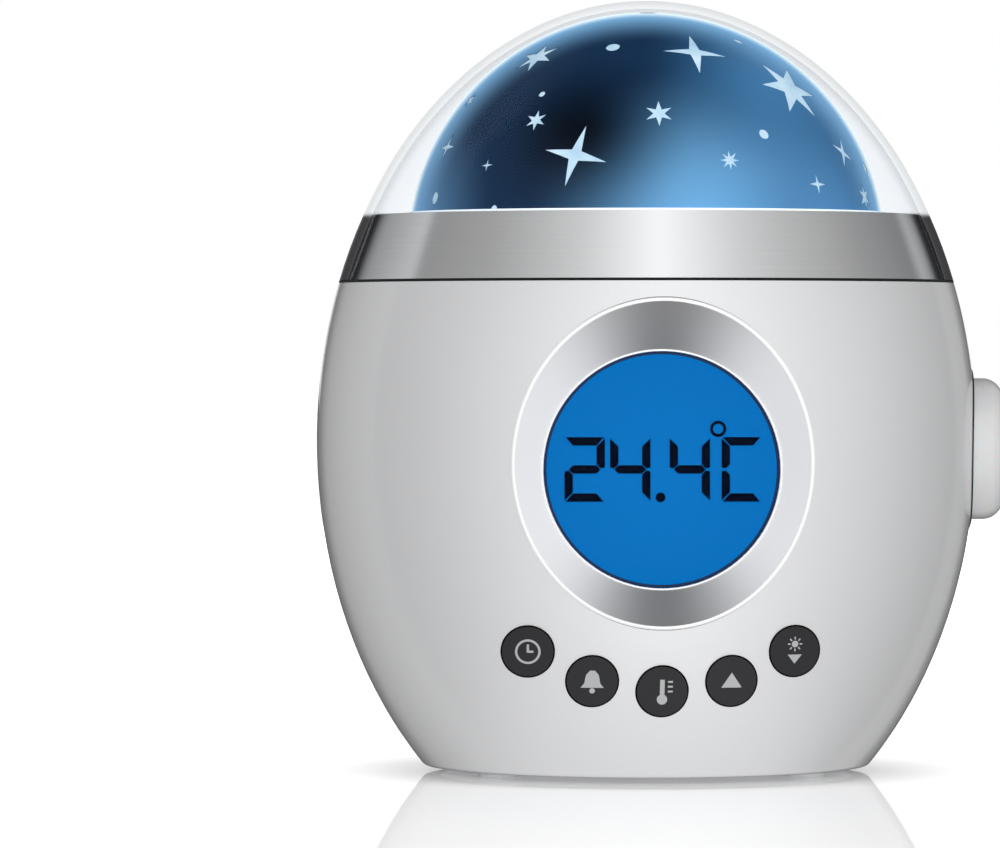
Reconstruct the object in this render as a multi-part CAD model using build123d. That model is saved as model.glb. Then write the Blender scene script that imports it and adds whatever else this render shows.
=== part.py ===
"""Star night light projector: an egg-shaped clock and music box with a star dome under a clear cover.

Millimetres. The origin is on the egg's axis in the plane that the feet stand on, +Z is up,
the display faces -Y and the round light button is on the +X side.
"""
from build123d import *
from itertools import pairwise
from math import asin, atan2, cos, degrees, pi, radians, sin, sqrt
import os

os.makedirs("parts", exist_ok=True)

# ---------------------------------------------------------------- egg outline
egg_radius = 62.5           # half width of the egg at its middle
egg_half_height = 83.3      # half height of the whole egg, before its base is cut flat
egg_base_depth = 61.55      # from the egg's middle down to the flat base
foot_height = 1.0
smallest_edge = 0.001       # lengths below this count as none in an outline
overrun = 1.0               # how far a cutting or grown solid runs past the face that it meets
base_z = foot_height
egg_z = base_z + egg_base_depth
egg_top_z = egg_z + egg_half_height

# ---------------------------------------------------------------- housing
housing_wall = 2.2
cavity_drafts = 5           # straight drafted bands of the inner wall
base_edge_radius = 1.5
seam_rise = 29.95           # of the seam under the clear cover above the egg's middle
seam_gap = 0.4
seam_low_z = egg_z + seam_rise - seam_gap / 2
seam_high_z = seam_low_z + seam_gap
seam_recess = 0.9           # how far the black deck edge lies inside the seam
lug_rib = 2.0               # thickness of the ribs that carry the deck's screw lugs
plate_lug_rib = 3.0

# ---------------------------------------------------------------- clearances
key_clearance = 0.3         # round a push button and the slide knob
seat_clearance = 0.2        # round a piece that drops into its seat
screw_clearance = 0.05
running_gap = 0.3           # between a button's flange and the tube that holds it back

# ---------------------------------------------------------------- clear cover, band and star dome
cover_wall = 1.5
cover_arcs = 2              # pairs of tangent arcs in the cover's outline
band_height = 12.5
band_wall = 1.2
band_gap = 0.3              # between the band and the clear cover
band_lip = 6.2              # width of the lip that runs in from the band's top to the dome
dome_wall = 0.8
dome_gap = 0.3              # between the dome and the band's lip
dome_top_gap = 0.75         # between the dome's top and the clear cover

# ---------------------------------------------------------------- star windows of the dome
# azimuth to the right of the front, elevation above the dome's centre, size, then tilt to the left
four_point_waist = 0.22     # radius between the points, as a share of the tips' radius
small_star_waist = 0.38
four_point_stars = (
    (-21.4, 22.3, 12.6, -12),
    (17.0, 54.3, 13.0, -8),
    (-47.2, 20.1, 3.0, 3),
    (59.6, 23.8, 7.4, -28),
    (43.7, 15.4, 4.4, 0),
    (-69.1, 25.3, 6.2, 0),
)
six_point_stars = (
    (0.4, 33.4, 5.6, 0),
    (-35.2, 31.8, 4.7, 4),
    (-51.8, 53.0, 9.2, 16),
    (65.1, 12.7, 5.4, 0),
    (49.7, 41.8, 14.6, 20),
    (-73.0, 38.7, 4.0, 10),
)
eight_point_stars = (
    (18.2, 21.0, 4.0, 0),
)
round_stars = (
    (-17.5, 56.4, 2.6),
    (29.8, 27.9, 2.0),
    (-36.8, 39.5, 1.3),
    (72.7, 20.0, 2.2),
    (-66.5, 12.4, 2.3),
    (-42.2, 9.3, 1.5),
    (46.8, 60.1, 1.8),
    (1.3, 85.0, 3.2),
)

# ---------------------------------------------------------------- deck and lamp
deck_thickness = 2.2
deck_screw_inset = 8.0      # from the deck's edge in to its screws
deck_screw_angle = 45
deck_rib_depth = 4.0
deck_rib_width = 1.6
deck_rib_reach = 37.0       # from the axis to the end of a rib under the deck
deck_hub_radius = 8.0       # the ribs stop short of the axis by this much
dome_ring_height = 2.0      # of the ring that centres the dome
dome_ring_wall = 1.5
wire_hole_radius = 3.0
wire_hole_reach = 24.0      # from the axis
lamp_board_radius = 18.0
board_thickness = 1.6
lamp_circle = 5.0           # radius of the circle that the lamp LEDs stand on
lamp_led_radius = 2.5
lamp_led_height = 8.6
lamp_led_rim = 0.4
lamp_led_rim_height = 1.0
lamp_led_count = 3

# ---------------------------------------------------------------- display
display_drop = 4.65         # of its middle below the egg's middle
display_radius = 21.8       # of the visible window
display_sink = 10.5         # of the dish's bottom inside the egg's widest radius
dish_slope = 1.19           # growth of the dish's radius for each millimetre outwards
dish_wall = 1.2
window_lip = 0.6
window_border = 1.0
window_thickness = 1.5
collar_step = 0.5           # from the dish's inner edge back to the collar round the window
lcd_size = 47.0
lcd_thickness = 2.2
light_guide_thickness = 3.8
frame_wall = 1.8
frame_pocket_step = 2.0

# ---------------------------------------------------------------- push buttons, front and rear
key_radius = 4.6
key_circle = 45.0           # the buttons lie on an arc about the egg's middle
key_pitch = 16.4            # degrees between neighbours
key_numbers = (-2, -1, 0, 1, 2)
key_proud = 0.4
key_flange = 1.1            # how far the flange stands out all round
key_flange_thickness = 1.0
key_tube_wall = 1.7
key_seat_sink = 21.5        # of the guide tubes' inner ends inside the egg's widest radius
key_travel = 0.8
switch_gap = 0.05           # left above the switch when a button is pressed home
switch_size = 6.0
switch_height = 5.0
plunger_radius = 1.75
plunger_height = 1.5

# ---------------------------------------------------------------- round light button on the side
light_key_drop = 1.65       # of its middle below the egg's middle
light_key_radius = 13.4
light_key_proud = 4.5       # of its outermost point beyond the egg
light_key_dome = 3.0        # rise of its domed face
light_key_wall = 2.0
light_key_flange = 1.6
light_key_flange_thickness = 1.5
light_key_sink = 4.6        # of its flange's outer face inside the egg's widest radius
light_key_travel = 1.2
light_key_stem_radius = 3.0
light_key_stem_length = 1.2
light_board_width = 27.0
light_board_length = 26.5
light_board_margin = 5.0    # of the board beyond its switch, at the front and above
light_board_screws = ((18.7, 0.0), (3.0, -18.5))     # backwards from the axis, above the button's middle
light_board_post_radius = 2.5
light_board_screw_length = 4.5

# ---------------------------------------------------------------- boards and posts
front_board_width = 64.0
board_drop = 48.55          # of the boards' lower edges below the egg's middle
front_board_rise = 23.45    # of its upper edge above the egg's middle
rear_board_width = 62.0
rear_board_drop = 12.55     # of its upper edge below the egg's middle
post_radius = 3.0
post_hole_depth = 7.0
front_post_margin = 3.5     # of the posts inside the board's side edges
front_post_rises = (-29.55, 20.45)                   # above the egg's middle
rear_post_places = ((2.0, -29.05), (15.0, -18.55))   # inside the board's side edges, above the middle
chip_size = 12.0
chip_thickness = 1.6
chip_drop = 4.55            # of its middle below the egg's middle
sensor_radius = 1.2
sensor_length = 2.4
sensor_x = 24.0
sensor_drop = 43.55         # below the egg's middle

# ---------------------------------------------------------------- screws
small_shank = 1.1           # radius
small_head = 2.1            # radius
small_head_height = 1.4
small_screw_length = 6.0
tip_room = 0.6              # left in front of a screw's tip
case_shank = 1.45
case_head = 2.6
case_head_height = 2.2
case_bore = 2.85            # radius of the deep hole that the head goes down
case_shoulder = 10.0        # from the parting plane to the shoulder under the head
case_screw_length = 18.0
case_boss_wall = 1.5
case_post_radius = 3.6
case_screw_places = ((11.9, 20.95), (11.6, -46.35))  # inside the outline, above the egg's middle

# ---------------------------------------------------------------- loudspeaker
speaker_rise = 3.05         # above the egg's middle
grille_hole = 1.55          # radius
grille_pitch = 8.28         # sideways between the holes of a row
grille_rows = (3, 4, 5, 4, 5, 4, 5, 4, 3)
speaker_radius = 20.0
speaker_sink = 7.9          # of the speaker's seat inside the egg's widest radius
speaker_seat_width = 1.4
speaker_rim_thickness = 1.2
speaker_basket_depth = 8.0
speaker_magnet_radius = 11.0
speaker_magnet_height = 6.5
speaker_ring_wall = 2.2
speaker_lug_circle = 24.6
speaker_lug_angles = (30, 150, 210, 330)
speaker_lug_hole = 2.0      # depth of the screw holes beyond the speaker's seat
speaker_clamp_thickness = 1.5
speaker_clamp_overlap = 1.6
speaker_screw_length = 4.5
speaker_basket_wall = 1.2
speaker_throat_wall = 3.0   # of the magnet's front plate round the voice coil
speaker_mouth_rim = 3.2     # width of the flat rim round the basket's mouth
paper_thickness = 0.6
paper_gap = 0.4             # between the paper cone and the basket
paper_seat = 3.2            # from the basket's back to the cone's back
dust_cap_radius = 4.5
dust_cap_height = 2.2

# ---------------------------------------------------------------- power inlet
jack_x = 26.5
jack_drop = 18.75           # below the egg's middle
jack_mouth = 3.05           # radius
jack_pocket_radius = 5.6
jack_pocket_sink = 12.1     # of the pocket's floor inside the egg's widest radius
jack_pocket_wall = 2.0
jack_width = 9.0
jack_body_height = 11.0
jack_bore = 2.85            # radius
jack_bore_depth = 9.5
jack_pin_radius = 1.0
jack_pin_length = 9.0

# ---------------------------------------------------------------- slide switch
slide_drop = 30.15          # below the egg's middle
slide_recess_width = 23.2
slide_recess_height = 12.3
slide_sink = 8.5            # of the recess floor inside the egg's widest radius
slide_recess_draft = 32     # degrees
slide_pad_margin = 2.0      # of the thick pad round the recess
slide_slot_width = 12.8
slide_slot_height = 6.7
slide_knob_width = 7.7
slide_knob_proud = 1.0
slide_travel = 2.4          # each way from the middle
slide_flange = 1.6
slide_flange_thickness = 1.2
slide_grip_pitch = 1.5
slide_grip_depth = 0.4
slide_body_width = 14.0
slide_body_height = 7.0
slide_body_depth = 6.0
slide_tongue = 1.2          # radius of the pin that moves the switch
slide_tongue_depth = 1.5    # how far the pin enters the switch
slide_slot_depth = 2.0      # of the slot in the switch

# ---------------------------------------------------------------- base and batteries
plate_thickness = 3.6
plate_lug_inset = 5.05      # from the plate's edge in to its screws, along X
plate_lug_y = 10.0
plate_lug_height = 5.0
plate_lug_radius = 3.5
plate_counterbore = 1.8
cell_radius = 7.1
cell_pitch = 14.7
cell_length = 49.2
cell_nub_radius = 2.75
cell_nub_length = 1.3
cells = 3
bay_clearance = 0.25
bay_wall = 1.5
bay_corner = 2.0
contact_room = 3.25         # at each end of the cells
contact_thickness = 0.4
contact_width = 7.0
contact_height = 11.0
contact_foot = 1.0          # height of the flat ends of a bowed contact
door_thickness = 2.0
door_rebate = 1.5
door_corner = 6.0
door_lobe_radius = 4.0
door_boss_radius = 3.0      # of the boss that takes the door's screw
door_tab_width = 6.0
door_tab_length = 2.0
door_tab_thickness = 1.0
foot_radius = 3.8
foot_inset = 4.0            # from the plate's edge in to the feet's middles
foot_turn = 34.8            # degrees round from the light button's side
foot_recess = 0.5

# ---------------------------------------------------------------- worked-out places
deck_low_z = seam_high_z - deck_thickness
band_top_z = seam_high_z + band_height
display_depth = egg_radius - display_sink
key_seat_depth = egg_radius - key_seat_sink
light_key_reach = egg_radius + light_key_proud
light_key_seat = egg_radius - light_key_sink
speaker_seat_depth = egg_radius - speaker_sink
jack_pocket_depth = egg_radius - jack_pocket_sink
slide_floor_depth = egg_radius - slide_sink
switch_top = key_seat_depth - running_gap - key_flange_thickness - key_travel - switch_gap
board_depth = switch_top - switch_height
display_z = egg_z - display_drop
light_key_z = egg_z - light_key_drop
speaker_z = egg_z + speaker_rise
jack_z = egg_z - jack_drop
slide_z = egg_z - slide_drop
front_post_x = front_board_width / 2 - front_post_margin
front_post_heights = [egg_z + rise for rise in front_post_rises]
rear_post_points = [(rear_board_width / 2 - margin, egg_z + rise) for margin, rise in rear_post_places]
rear_posts = [(side * x, z) for side in (-1, 1) for x, z in rear_post_points]
board_low_z = egg_z - board_drop
plate_top_z = base_z + plate_thickness
outside = egg_radius + overrun
pilot = small_shank + screw_clearance
case_pilot = case_shank + screw_clearance
speaker_rim_back = speaker_seat_depth - speaker_rim_thickness
speaker_basket_back = speaker_rim_back - speaker_basket_depth
jack_face = jack_pocket_depth - housing_wall - seat_clearance / 2
slide_flange_top = slide_floor_depth - housing_wall - running_gap
slide_body_top = board_depth + slide_body_depth


# ================================================================ helpers
def egg_point(angle, inset=0.0):
    """Point of the egg's outline, or of one set inwards, at an angle above its middle."""
    radius = (egg_radius - inset) * cos(angle)
    return Vector(max(radius, 0), 0, egg_z + (egg_half_height - inset) * sin(angle))


def egg_way(angle, inset=0.0):
    """Direction in which the outline climbs at an angle above its middle."""
    sideways = -(egg_radius - inset) * sin(angle)
    upwards = (egg_half_height - inset) * cos(angle)
    return Vector(sideways, 0, upwards).normalized()


def egg_angle(z, inset=0.0):
    """Angle of the outline's point at a height; a hair below the top counts as the top."""
    half_height = egg_half_height - inset
    if egg_z + half_height - z < smallest_edge:
        return pi / 2
    return asin((z - egg_z) / half_height)


def egg_radius_at(z, inset=0.0):
    """Radius of the egg at a height."""
    return egg_point(egg_angle(z, inset), inset).X


def tangent_arcs(start, start_way, end, end_way):
    """Two arcs from one point to another, tangent to both directions and to each other."""
    across = end - start
    ways = start_way + end_way
    turn = 2 * (1 - start_way.dot(end_way))
    reach = (sqrt(across.dot(ways) ** 2 + turn * across.dot(across)) - across.dot(ways)) / turn
    joint = (start + end + (start_way - end_way) * reach) * 0.5
    return [TangentArc(start, joint, tangent=start_way), TangentArc(end, joint, tangent=-end_way)]


def egg_slice(low, high, inset=0.0):
    """Slice of the egg, or of one set inwards, between two heights: a sphere stretched upwards."""
    radius = egg_radius - inset
    whole = Pos(0, 0, egg_z) * scale(Sphere(radius), by=(1, 1, (egg_half_height - inset) / radius))
    reach = egg_radius * 2
    return whole & block(-reach, reach, -reach, reach, low, high)


def turned_egg(low, high, parts, inset=0.0, straight=False):
    """Egg turned between two heights, its side in pairs of tangent arcs or in straight drafts."""
    start = egg_angle(low, inset)
    step = (egg_angle(high, inset) - start) / parts
    angles = [start + step * i for i in range(parts + 1)]
    side = []
    for first, last in pairwise(angles):
        ends = egg_point(first, inset), egg_point(last, inset)
        if straight:
            side.append(Line(*ends))
        else:
            side += tangent_arcs(ends[0], egg_way(first, inset), ends[1], egg_way(last, inset))
    bottom = egg_point(angles[0], inset)
    top = egg_point(angles[-1], inset)
    low_centre = Vector(0, 0, bottom.Z)
    high_centre = Vector(0, 0, top.Z)
    outline = Curve() + side + Line(low_centre, high_centre) + Line(low_centre, bottom)
    if top.X > smallest_edge:
        outline += Line(top, high_centre)
    return revolve(make_face(outline), Axis.Z)


def along_y(x, z, start, end, radius):
    """Cylinder along Y between two depths."""
    middle = Pos(x, (start + end) / 2, z)
    return middle * Rot(90, 0, 0) * Cylinder(radius, abs(end - start))


def along_z(x, y, low, high, radius):
    """Cylinder along Z between two heights."""
    return Pos(x, y, (low + high) / 2) * Cylinder(radius, high - low)


def along_x(start, end, y, z, radius):
    """Cylinder along X between two distances from the axis."""
    return Pos((start + end) / 2, y, z) * Rot(0, 90, 0) * Cylinder(radius, abs(end - start))


def block(x0, x1, y0, y1, z0, z1):
    """Box between its two corners."""
    centre = Pos((x0 + x1) / 2, (y0 + y1) / 2, (z0 + z1) / 2)
    return centre * Box(abs(x1 - x0), abs(y1 - y0), abs(z1 - z0))


def cone_y(x, z, start, end, start_radius, end_radius):
    """Cone frustum along Y, from a start depth to an end depth."""
    outline = Polyline((0, start), (start_radius, start), (end_radius, end), (0, end), close=True)
    return Pos(x, 0, z) * revolve(make_face(outline), Axis.Y)


def stadium_y(x, z, start, end, width, height):
    """Flat-sided oval prism along Y."""
    depth = abs(end - start)
    flat = width - height
    core = block(x - flat / 2, x + flat / 2, start, end, z - height / 2, z + height / 2)
    ends = [along_y(x + side * flat / 2, z, start, end, height / 2) for side in (-1, 1)]
    return core + ends


def key_place(index):
    """Sideways place and height of a push button, counted from the middle one."""
    angle = radians(index * key_pitch)
    return key_circle * sin(angle), egg_z - key_circle * cos(angle)


def mirrored(side, shape):
    """The shape itself at the rear, or its mirror image at the front."""
    return shape if side > 0 else mirror(shape, Plane.XZ)


def screw_y(x, z, seat, length, shank, head, head_height, direction):
    """Screw along Y with its head's underside at the seat; it points towards the direction."""
    tip = seat + direction * length
    top = seat - direction * head_height
    return along_y(x, z, seat, tip, shank) + along_y(x, z, top, seat, head)


def screw_z(x, y, seat, length, shank, head, head_height, direction):
    """Screw along Z with its head's underside at the seat; it points towards the direction."""
    tip = seat + direction * length
    top = seat - direction * head_height
    shank_solid = along_z(x, y, min(seat, tip), max(seat, tip), shank)
    return shank_solid + along_z(x, y, min(seat, top), max(seat, top), head)


def save(name, *solids):
    """Write a node of one or more separate solids."""
    shape = solids[0] if len(solids) == 1 else Compound(children=list(solids))
    export_step(shape, f"parts/{name}.step")


# ================================================================ housing shells
seam_lip_radius = egg_radius_at(seam_low_z) - seam_recess + seat_clearance
plate_radius = egg_radius_at(base_z, housing_wall) - seat_clearance
plate_lug_x = plate_radius - plate_lug_inset
deck_radius = seam_lip_radius - seat_clearance
deck_screw_circle = deck_radius - deck_screw_inset
dome_radius = egg_radius_at(band_top_z, cover_wall + band_gap) - band_lip - dome_gap
dome_z = egg_top_z - cover_wall - dome_top_gap - dome_radius


def side_wall():
    """Egg-shaped wall, open at both ends, with a rebate for the deck at its top."""
    outer = egg_slice(base_z, seam_low_z)
    outer = fillet(outer.edges().sort_by(Axis.Z)[0], base_edge_radius)
    cavity = turned_egg(base_z, seam_low_z, cavity_drafts, housing_wall, straight=True)
    rebate = along_z(0, 0, deck_low_z, seam_low_z, seam_lip_radius)
    return outer - cavity - rebate


def half_space(side):
    """Block that holds one half of the object: the rear for +1 and the front for -1."""
    reach = egg_radius * 2
    return block(-reach, reach, 0, side * reach, 0, egg_top_z)


def within_wall():
    """Everything inside the middle of the wall, to trim what grows out of it."""
    return egg_slice(base_z, deck_low_z, housing_wall / 2)


def key_tubes(side):
    """Guide tubes of the five push buttons."""
    tubes = []
    for index in key_numbers:
        x, z = key_place(index)
        radius = key_radius + key_clearance + key_tube_wall
        tubes.append(along_y(x, z, side * key_seat_depth, side * egg_radius, radius))
    return tubes


def key_holes(side):
    """Bores of the guide tubes, through the wall."""
    holes = []
    for index in key_numbers:
        x, z = key_place(index)
        radius = key_radius + key_clearance
        holes.append(along_y(x, z, side * (key_seat_depth - overrun), side * egg_radius, radius))
    return holes


def case_screw_points():
    """Sideways place and height of the case screws on the light button's side."""
    return [(egg_radius_at(egg_z + rise) - inset, egg_z + rise) for inset, rise in case_screw_places]


def deck_screw_place(x_side, y_side):
    """Place of one of the deck's four screws."""
    angle = radians(deck_screw_angle)
    return x_side * deck_screw_circle * cos(angle), y_side * deck_screw_circle * sin(angle)


def deck_screw_places():
    return [deck_screw_place(x_side, y_side) for x_side in (-1, 1) for y_side in (-1, 1)]


def lugs(side):
    """Screw lugs for the deck and for the base plate, grown out of the wall."""
    grown = []
    low = deck_low_z - small_screw_length - overrun
    high = plate_top_z + plate_lug_height
    for x_side in (-1, 1):
        x, y = deck_screw_place(x_side, side)
        grown.append(along_z(x, y, low, deck_low_z, post_radius))
        rib = block(deck_screw_circle, egg_radius, -lug_rib / 2, lug_rib / 2, low, deck_low_z)
        grown.append(Rot(0, 0, degrees(atan2(y, x))) * rib)
        x = x_side * plate_lug_x
        y = side * plate_lug_y
        grown.append(along_z(x, y, plate_top_z, high, plate_lug_radius))
        half = plate_lug_rib / 2
        grown.append(block(x, x_side * egg_radius, y - half, y + half, plate_top_z, high))
    return grown


def lug_holes(side):
    """Pilot holes of the lugs."""
    holes = []
    low = seam_high_z - small_screw_length - tip_room
    high = base_z + plate_counterbore + small_screw_length + tip_room
    for x_side in (-1, 1):
        x, y = deck_screw_place(x_side, side)
        holes.append(along_z(x, y, low, deck_low_z + overrun, pilot))
        x = x_side * plate_lug_x
        y = side * plate_lug_y
        holes.append(along_z(x, y, plate_top_z - overrun, high, pilot))
    return holes


def light_key_opening():
    """Round hole for the light button, through the side wall."""
    radius = light_key_radius + key_clearance
    return along_x(light_key_seat, outside, 0, light_key_z, radius)


def front_shell():
    """Front half: display dish opening, five button tubes, board posts and screw pillars."""
    inside = within_wall()
    wall = side_wall() & half_space(-1)
    grown = key_tubes(-1) + lugs(-1)
    for x_side in (-1, 1):
        for z in front_post_heights:
            grown.append(along_y(x_side * front_post_x, z, -board_depth, -egg_radius, post_radius))
        for x, z in case_screw_points():
            grown.append(along_y(x_side * x, z, 0, -egg_radius, case_post_radius))
    shell = wall + ((grown[0] + grown[1:]) & inside)
    dish_radius = display_radius + dish_wall
    dish_far = dish_radius + dish_slope * (outside - display_depth)
    dish = cone_y(0, display_z, -display_depth, -outside, dish_radius, dish_far)
    socket_radius = dish_radius + window_border + dish_wall
    socket = along_y(0, display_z, -board_depth - overrun, -display_depth, socket_radius)
    cuts = [dish, socket & inside, light_key_opening()] + key_holes(-1) + lug_holes(-1)
    post_far = -board_depth - post_hole_depth
    case_far = case_shoulder - case_screw_length - tip_room
    for x_side in (-1, 1):
        for z in front_post_heights:
            cuts.append(along_y(x_side * front_post_x, z, -board_depth, post_far, pilot))
        for x, z in case_screw_points():
            cuts.append(along_y(x_side * x, z, 0, case_far, case_pilot))
    return shell - cuts


def jack_pocket():
    """Shallow pocket round the power inlet that runs out sideways through the curved wall."""
    low = jack_z - jack_pocket_radius
    high = jack_z + jack_pocket_radius
    round_end = along_y(jack_x, jack_z, jack_pocket_depth, outside, jack_pocket_radius)
    return round_end + block(jack_x, egg_radius, jack_pocket_depth, outside, low, high)


def slide_recess():
    """Drafted oval recess round the slide switch."""
    floor = Plane((0, slide_floor_depth, slide_z), x_dir=(1, 0, 0), z_dir=(0, 1, 0))
    oval = floor * SlotOverall(slide_recess_width, slide_recess_height)
    return extrude(oval, outside - slide_floor_depth, taper=-slide_recess_draft)


def grille_holes():
    """Staggered rows of round sound holes."""
    row_pitch = grille_pitch / 2
    middle_row = (len(grille_rows) - 1) / 2
    holes = []
    for row, count in enumerate(grille_rows):
        z = speaker_z + (middle_row - row) * row_pitch
        for column in range(count):
            x = (column - (count - 1) / 2) * grille_pitch
            holes.append(along_y(x, z, speaker_seat_depth, outside, grille_hole))
    return holes


def rear_shell():
    """Rear half: sound holes, inlet pocket, switch recess, button tubes and screw bosses."""
    inside = within_wall()
    wall = side_wall() & half_space(1)
    grown = key_tubes(1) + lugs(1)
    ring = speaker_radius + seat_clearance + speaker_ring_wall
    grown.append(along_y(0, speaker_z, speaker_rim_back, egg_radius, ring))
    grown += speaker_lugs(post_radius, speaker_rim_back, egg_radius)
    pocket_ring = jack_pocket_radius + jack_pocket_wall
    grown.append(along_y(jack_x, jack_z, jack_pocket_depth - housing_wall, egg_radius, pocket_ring))
    pad_x = slide_recess_width / 2 + slide_pad_margin
    pad_z = slide_recess_height / 2 + slide_pad_margin
    pad_inner = slide_floor_depth - housing_wall
    grown.append(block(-pad_x, pad_x, pad_inner, egg_radius, slide_z - pad_z, slide_z + pad_z))
    for x, z in rear_posts:
        grown.append(along_y(x, z, board_depth, egg_radius, post_radius))
    for y, z in light_board_posts():
        grown.append(along_x(light_board_face(), egg_radius, y, z, light_board_post_radius))
    for x_side in (-1, 1):
        for x, z in case_screw_points():
            grown.append(along_y(x_side * x, z, 0, egg_radius, case_bore + case_boss_wall))
    shell = wall + ((grown[0] + grown[1:]) & inside)
    hollow = turned_egg(base_z, seam_low_z, cavity_drafts, housing_wall, straight=True)
    cuts = [
        light_key_opening(),
        jack_pocket(),
        slide_recess(),
        along_y(0, speaker_z, 0, speaker_seat_depth, speaker_radius + seat_clearance),
        along_y(0, speaker_z, 0, egg_radius, speaker_radius - speaker_seat_width) & hollow,
        along_y(jack_x, jack_z, 0, egg_radius, jack_mouth),
        stadium_y(0, slide_z, pad_inner - overrun, egg_radius, slide_slot_width, slide_slot_height),
    ]
    cuts += key_holes(1) + lug_holes(1) + grille_holes()
    cuts += speaker_lugs(pilot, speaker_rim_back - overrun, speaker_seat_depth + speaker_lug_hole)
    for x, z in rear_posts:
        cuts.append(along_y(x, z, board_depth, board_depth + post_hole_depth, pilot))
    face = light_board_face()
    post_end = face + light_board_screw_length - board_thickness + tip_room
    for y, z in light_board_posts():
        cuts.append(along_x(face, post_end, y, z, pilot))
    for x_side in (-1, 1):
        for x, z in case_screw_points():
            cuts.append(along_y(x_side * x, z, case_shoulder, egg_radius, case_bore))
            cuts.append(along_y(x_side * x, z, 0, case_shoulder, case_pilot))
    return shell - cuts


# ================================================================ base, feet and batteries
bay_half_width = cell_pitch * (cells - 1) / 2 + cell_radius + bay_clearance
bay_half_length = (cell_length + cell_nub_length) / 2 + contact_room
door_half_width = bay_half_width + door_rebate
door_half_length = bay_half_length + door_rebate
door_top_z = base_z + door_thickness
cell_z = door_top_z + running_gap + cell_radius
bay_top_z = cell_z + cell_radius + running_gap
lobe_y = door_half_length + door_lobe_radius - door_rebate
door_seat_z = base_z + door_thickness / 2


def rounded_block(half_width, half_length, low, high, corner):
    """Block about the axis with rounded upright edges."""
    solid = block(-half_width, half_width, -half_length, half_length, low, high)
    return fillet(solid.edges().filter_by(Axis.Z), corner)


def feet_places():
    circle = plate_radius - foot_inset
    x = circle * cos(radians(foot_turn))
    y = circle * sin(radians(foot_turn))
    return [(x * x_side, y * y_side) for x_side in (-1, 1) for y_side in (-1, 1)]


def plate_screw_places():
    return [(x * plate_lug_x, y * plate_lug_y) for x in (-1, 1) for y in (-1, 1)]


def door_outline(low, high, grow=0.0):
    """The battery door's shape, or its seat when it grows."""
    corner = door_corner + grow
    shape = rounded_block(door_half_width + grow, door_half_length + grow, low, high, corner)
    return shape + along_z(0, lobe_y, low, high, door_lobe_radius + grow)


def door_tabs(low, high, grow=0.0):
    """Two tongues on the door's fixed end."""
    tabs = []
    for side in (-1, 1):
        x = side * door_half_width / 2
        half = door_tab_width / 2 + grow
        start = -door_half_length + overrun
        end = -door_half_length - door_tab_length - grow
        tabs.append(block(x - half, x + half, start, end, low, high))
    return tabs


def base_plate():
    """Round plate that closes the bottom, with the battery bay standing on it."""
    plate = along_z(0, 0, base_z, plate_top_z, plate_radius)
    bay_width = bay_half_width + bay_wall
    bay_length = bay_half_length + bay_wall
    bay = rounded_block(bay_width, bay_length, base_z, bay_top_z + bay_wall, bay_corner)
    boss_top = door_seat_z + small_screw_length + tip_room * 2
    boss = along_z(0, lobe_y, base_z, boss_top, door_boss_radius)
    plate = plate + bay + boss
    cuts = [
        block(-bay_half_width, bay_half_width, -bay_half_length, bay_half_length, base_z, bay_top_z),
        door_outline(base_z, door_top_z + seat_clearance, seat_clearance),
        along_z(0, lobe_y, base_z, door_seat_z + small_screw_length + tip_room, pilot),
    ]
    tab_low = door_top_z - door_tab_thickness
    cuts += door_tabs(tab_low - seat_clearance, door_top_z + seat_clearance, seat_clearance)
    for x, y in plate_screw_places():
        cuts.append(along_z(x, y, base_z, plate_top_z, pilot))
        cuts.append(along_z(x, y, base_z, base_z + plate_counterbore, small_head + seat_clearance))
    for x, y in feet_places():
        cuts.append(along_z(x, y, base_z, base_z + foot_recess, foot_radius))
    return plate - cuts


def battery_door():
    """Door with two tongues at one end and a screw at the other."""
    door = door_outline(base_z, door_top_z) + door_tabs(door_top_z - door_tab_thickness, door_top_z)
    cuts = [
        along_z(0, lobe_y, base_z, door_top_z, pilot),
        along_z(0, lobe_y, base_z, door_seat_z, small_head + seat_clearance),
    ]
    return door - cuts


def foot_pads():
    pads = []
    for x, y in feet_places():
        pad = along_z(x, y, 0, base_z + foot_recess, foot_radius)
        pads.append(chamfer(pad.edges().sort_by(Axis.Z)[0], foot_height / 3))
    return pads


def battery_cells():
    """Three cells side by side, turned alternately."""
    solids = []
    for index in range(cells):
        x = (index - (cells - 1) / 2) * cell_pitch
        turn = -1 if index % 2 else 1
        end = (cell_length + cell_nub_length) / 2 * turn
        shoulder = end - cell_nub_length * turn
        can = along_y(x, cell_z, -end, shoulder, cell_radius)
        solids.append(can + along_y(x, cell_z, shoulder, end, cell_nub_radius))
    return solids


def battery_contacts():
    """Bowed spring strips, one at each end of each cell."""
    bow = contact_room - screw_clearance
    half = contact_height / 2
    nose = contact_height / 8
    outer = [(0, half), (bow, nose), (bow, -nose), (0, -half)]
    back = bow - contact_thickness
    inner = [(0, half - contact_foot), (back, nose), (back, -nose), (0, contact_foot - half)]
    strip = make_face(Polyline(*outer, *reversed(inner), close=True))
    solids = []
    for index in range(cells):
        x = (index - (cells - 1) / 2) * cell_pitch
        for end in (-1, 1):
            edge = (x + end * contact_width / 2, end * bay_half_length, cell_z)
            wall = Plane(edge, x_dir=(0, -end, 0), z_dir=(-end, 0, 0))
            solids.append(extrude(wall * strip, contact_width))
    return solids


# ================================================================ clear cover, band, dome and lamp
def clear_cover():
    outer = turned_egg(seam_high_z, egg_top_z, cover_arcs)
    inner = turned_egg(seam_high_z, egg_top_z - cover_wall, cover_arcs, cover_wall)
    return outer - inner


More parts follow.
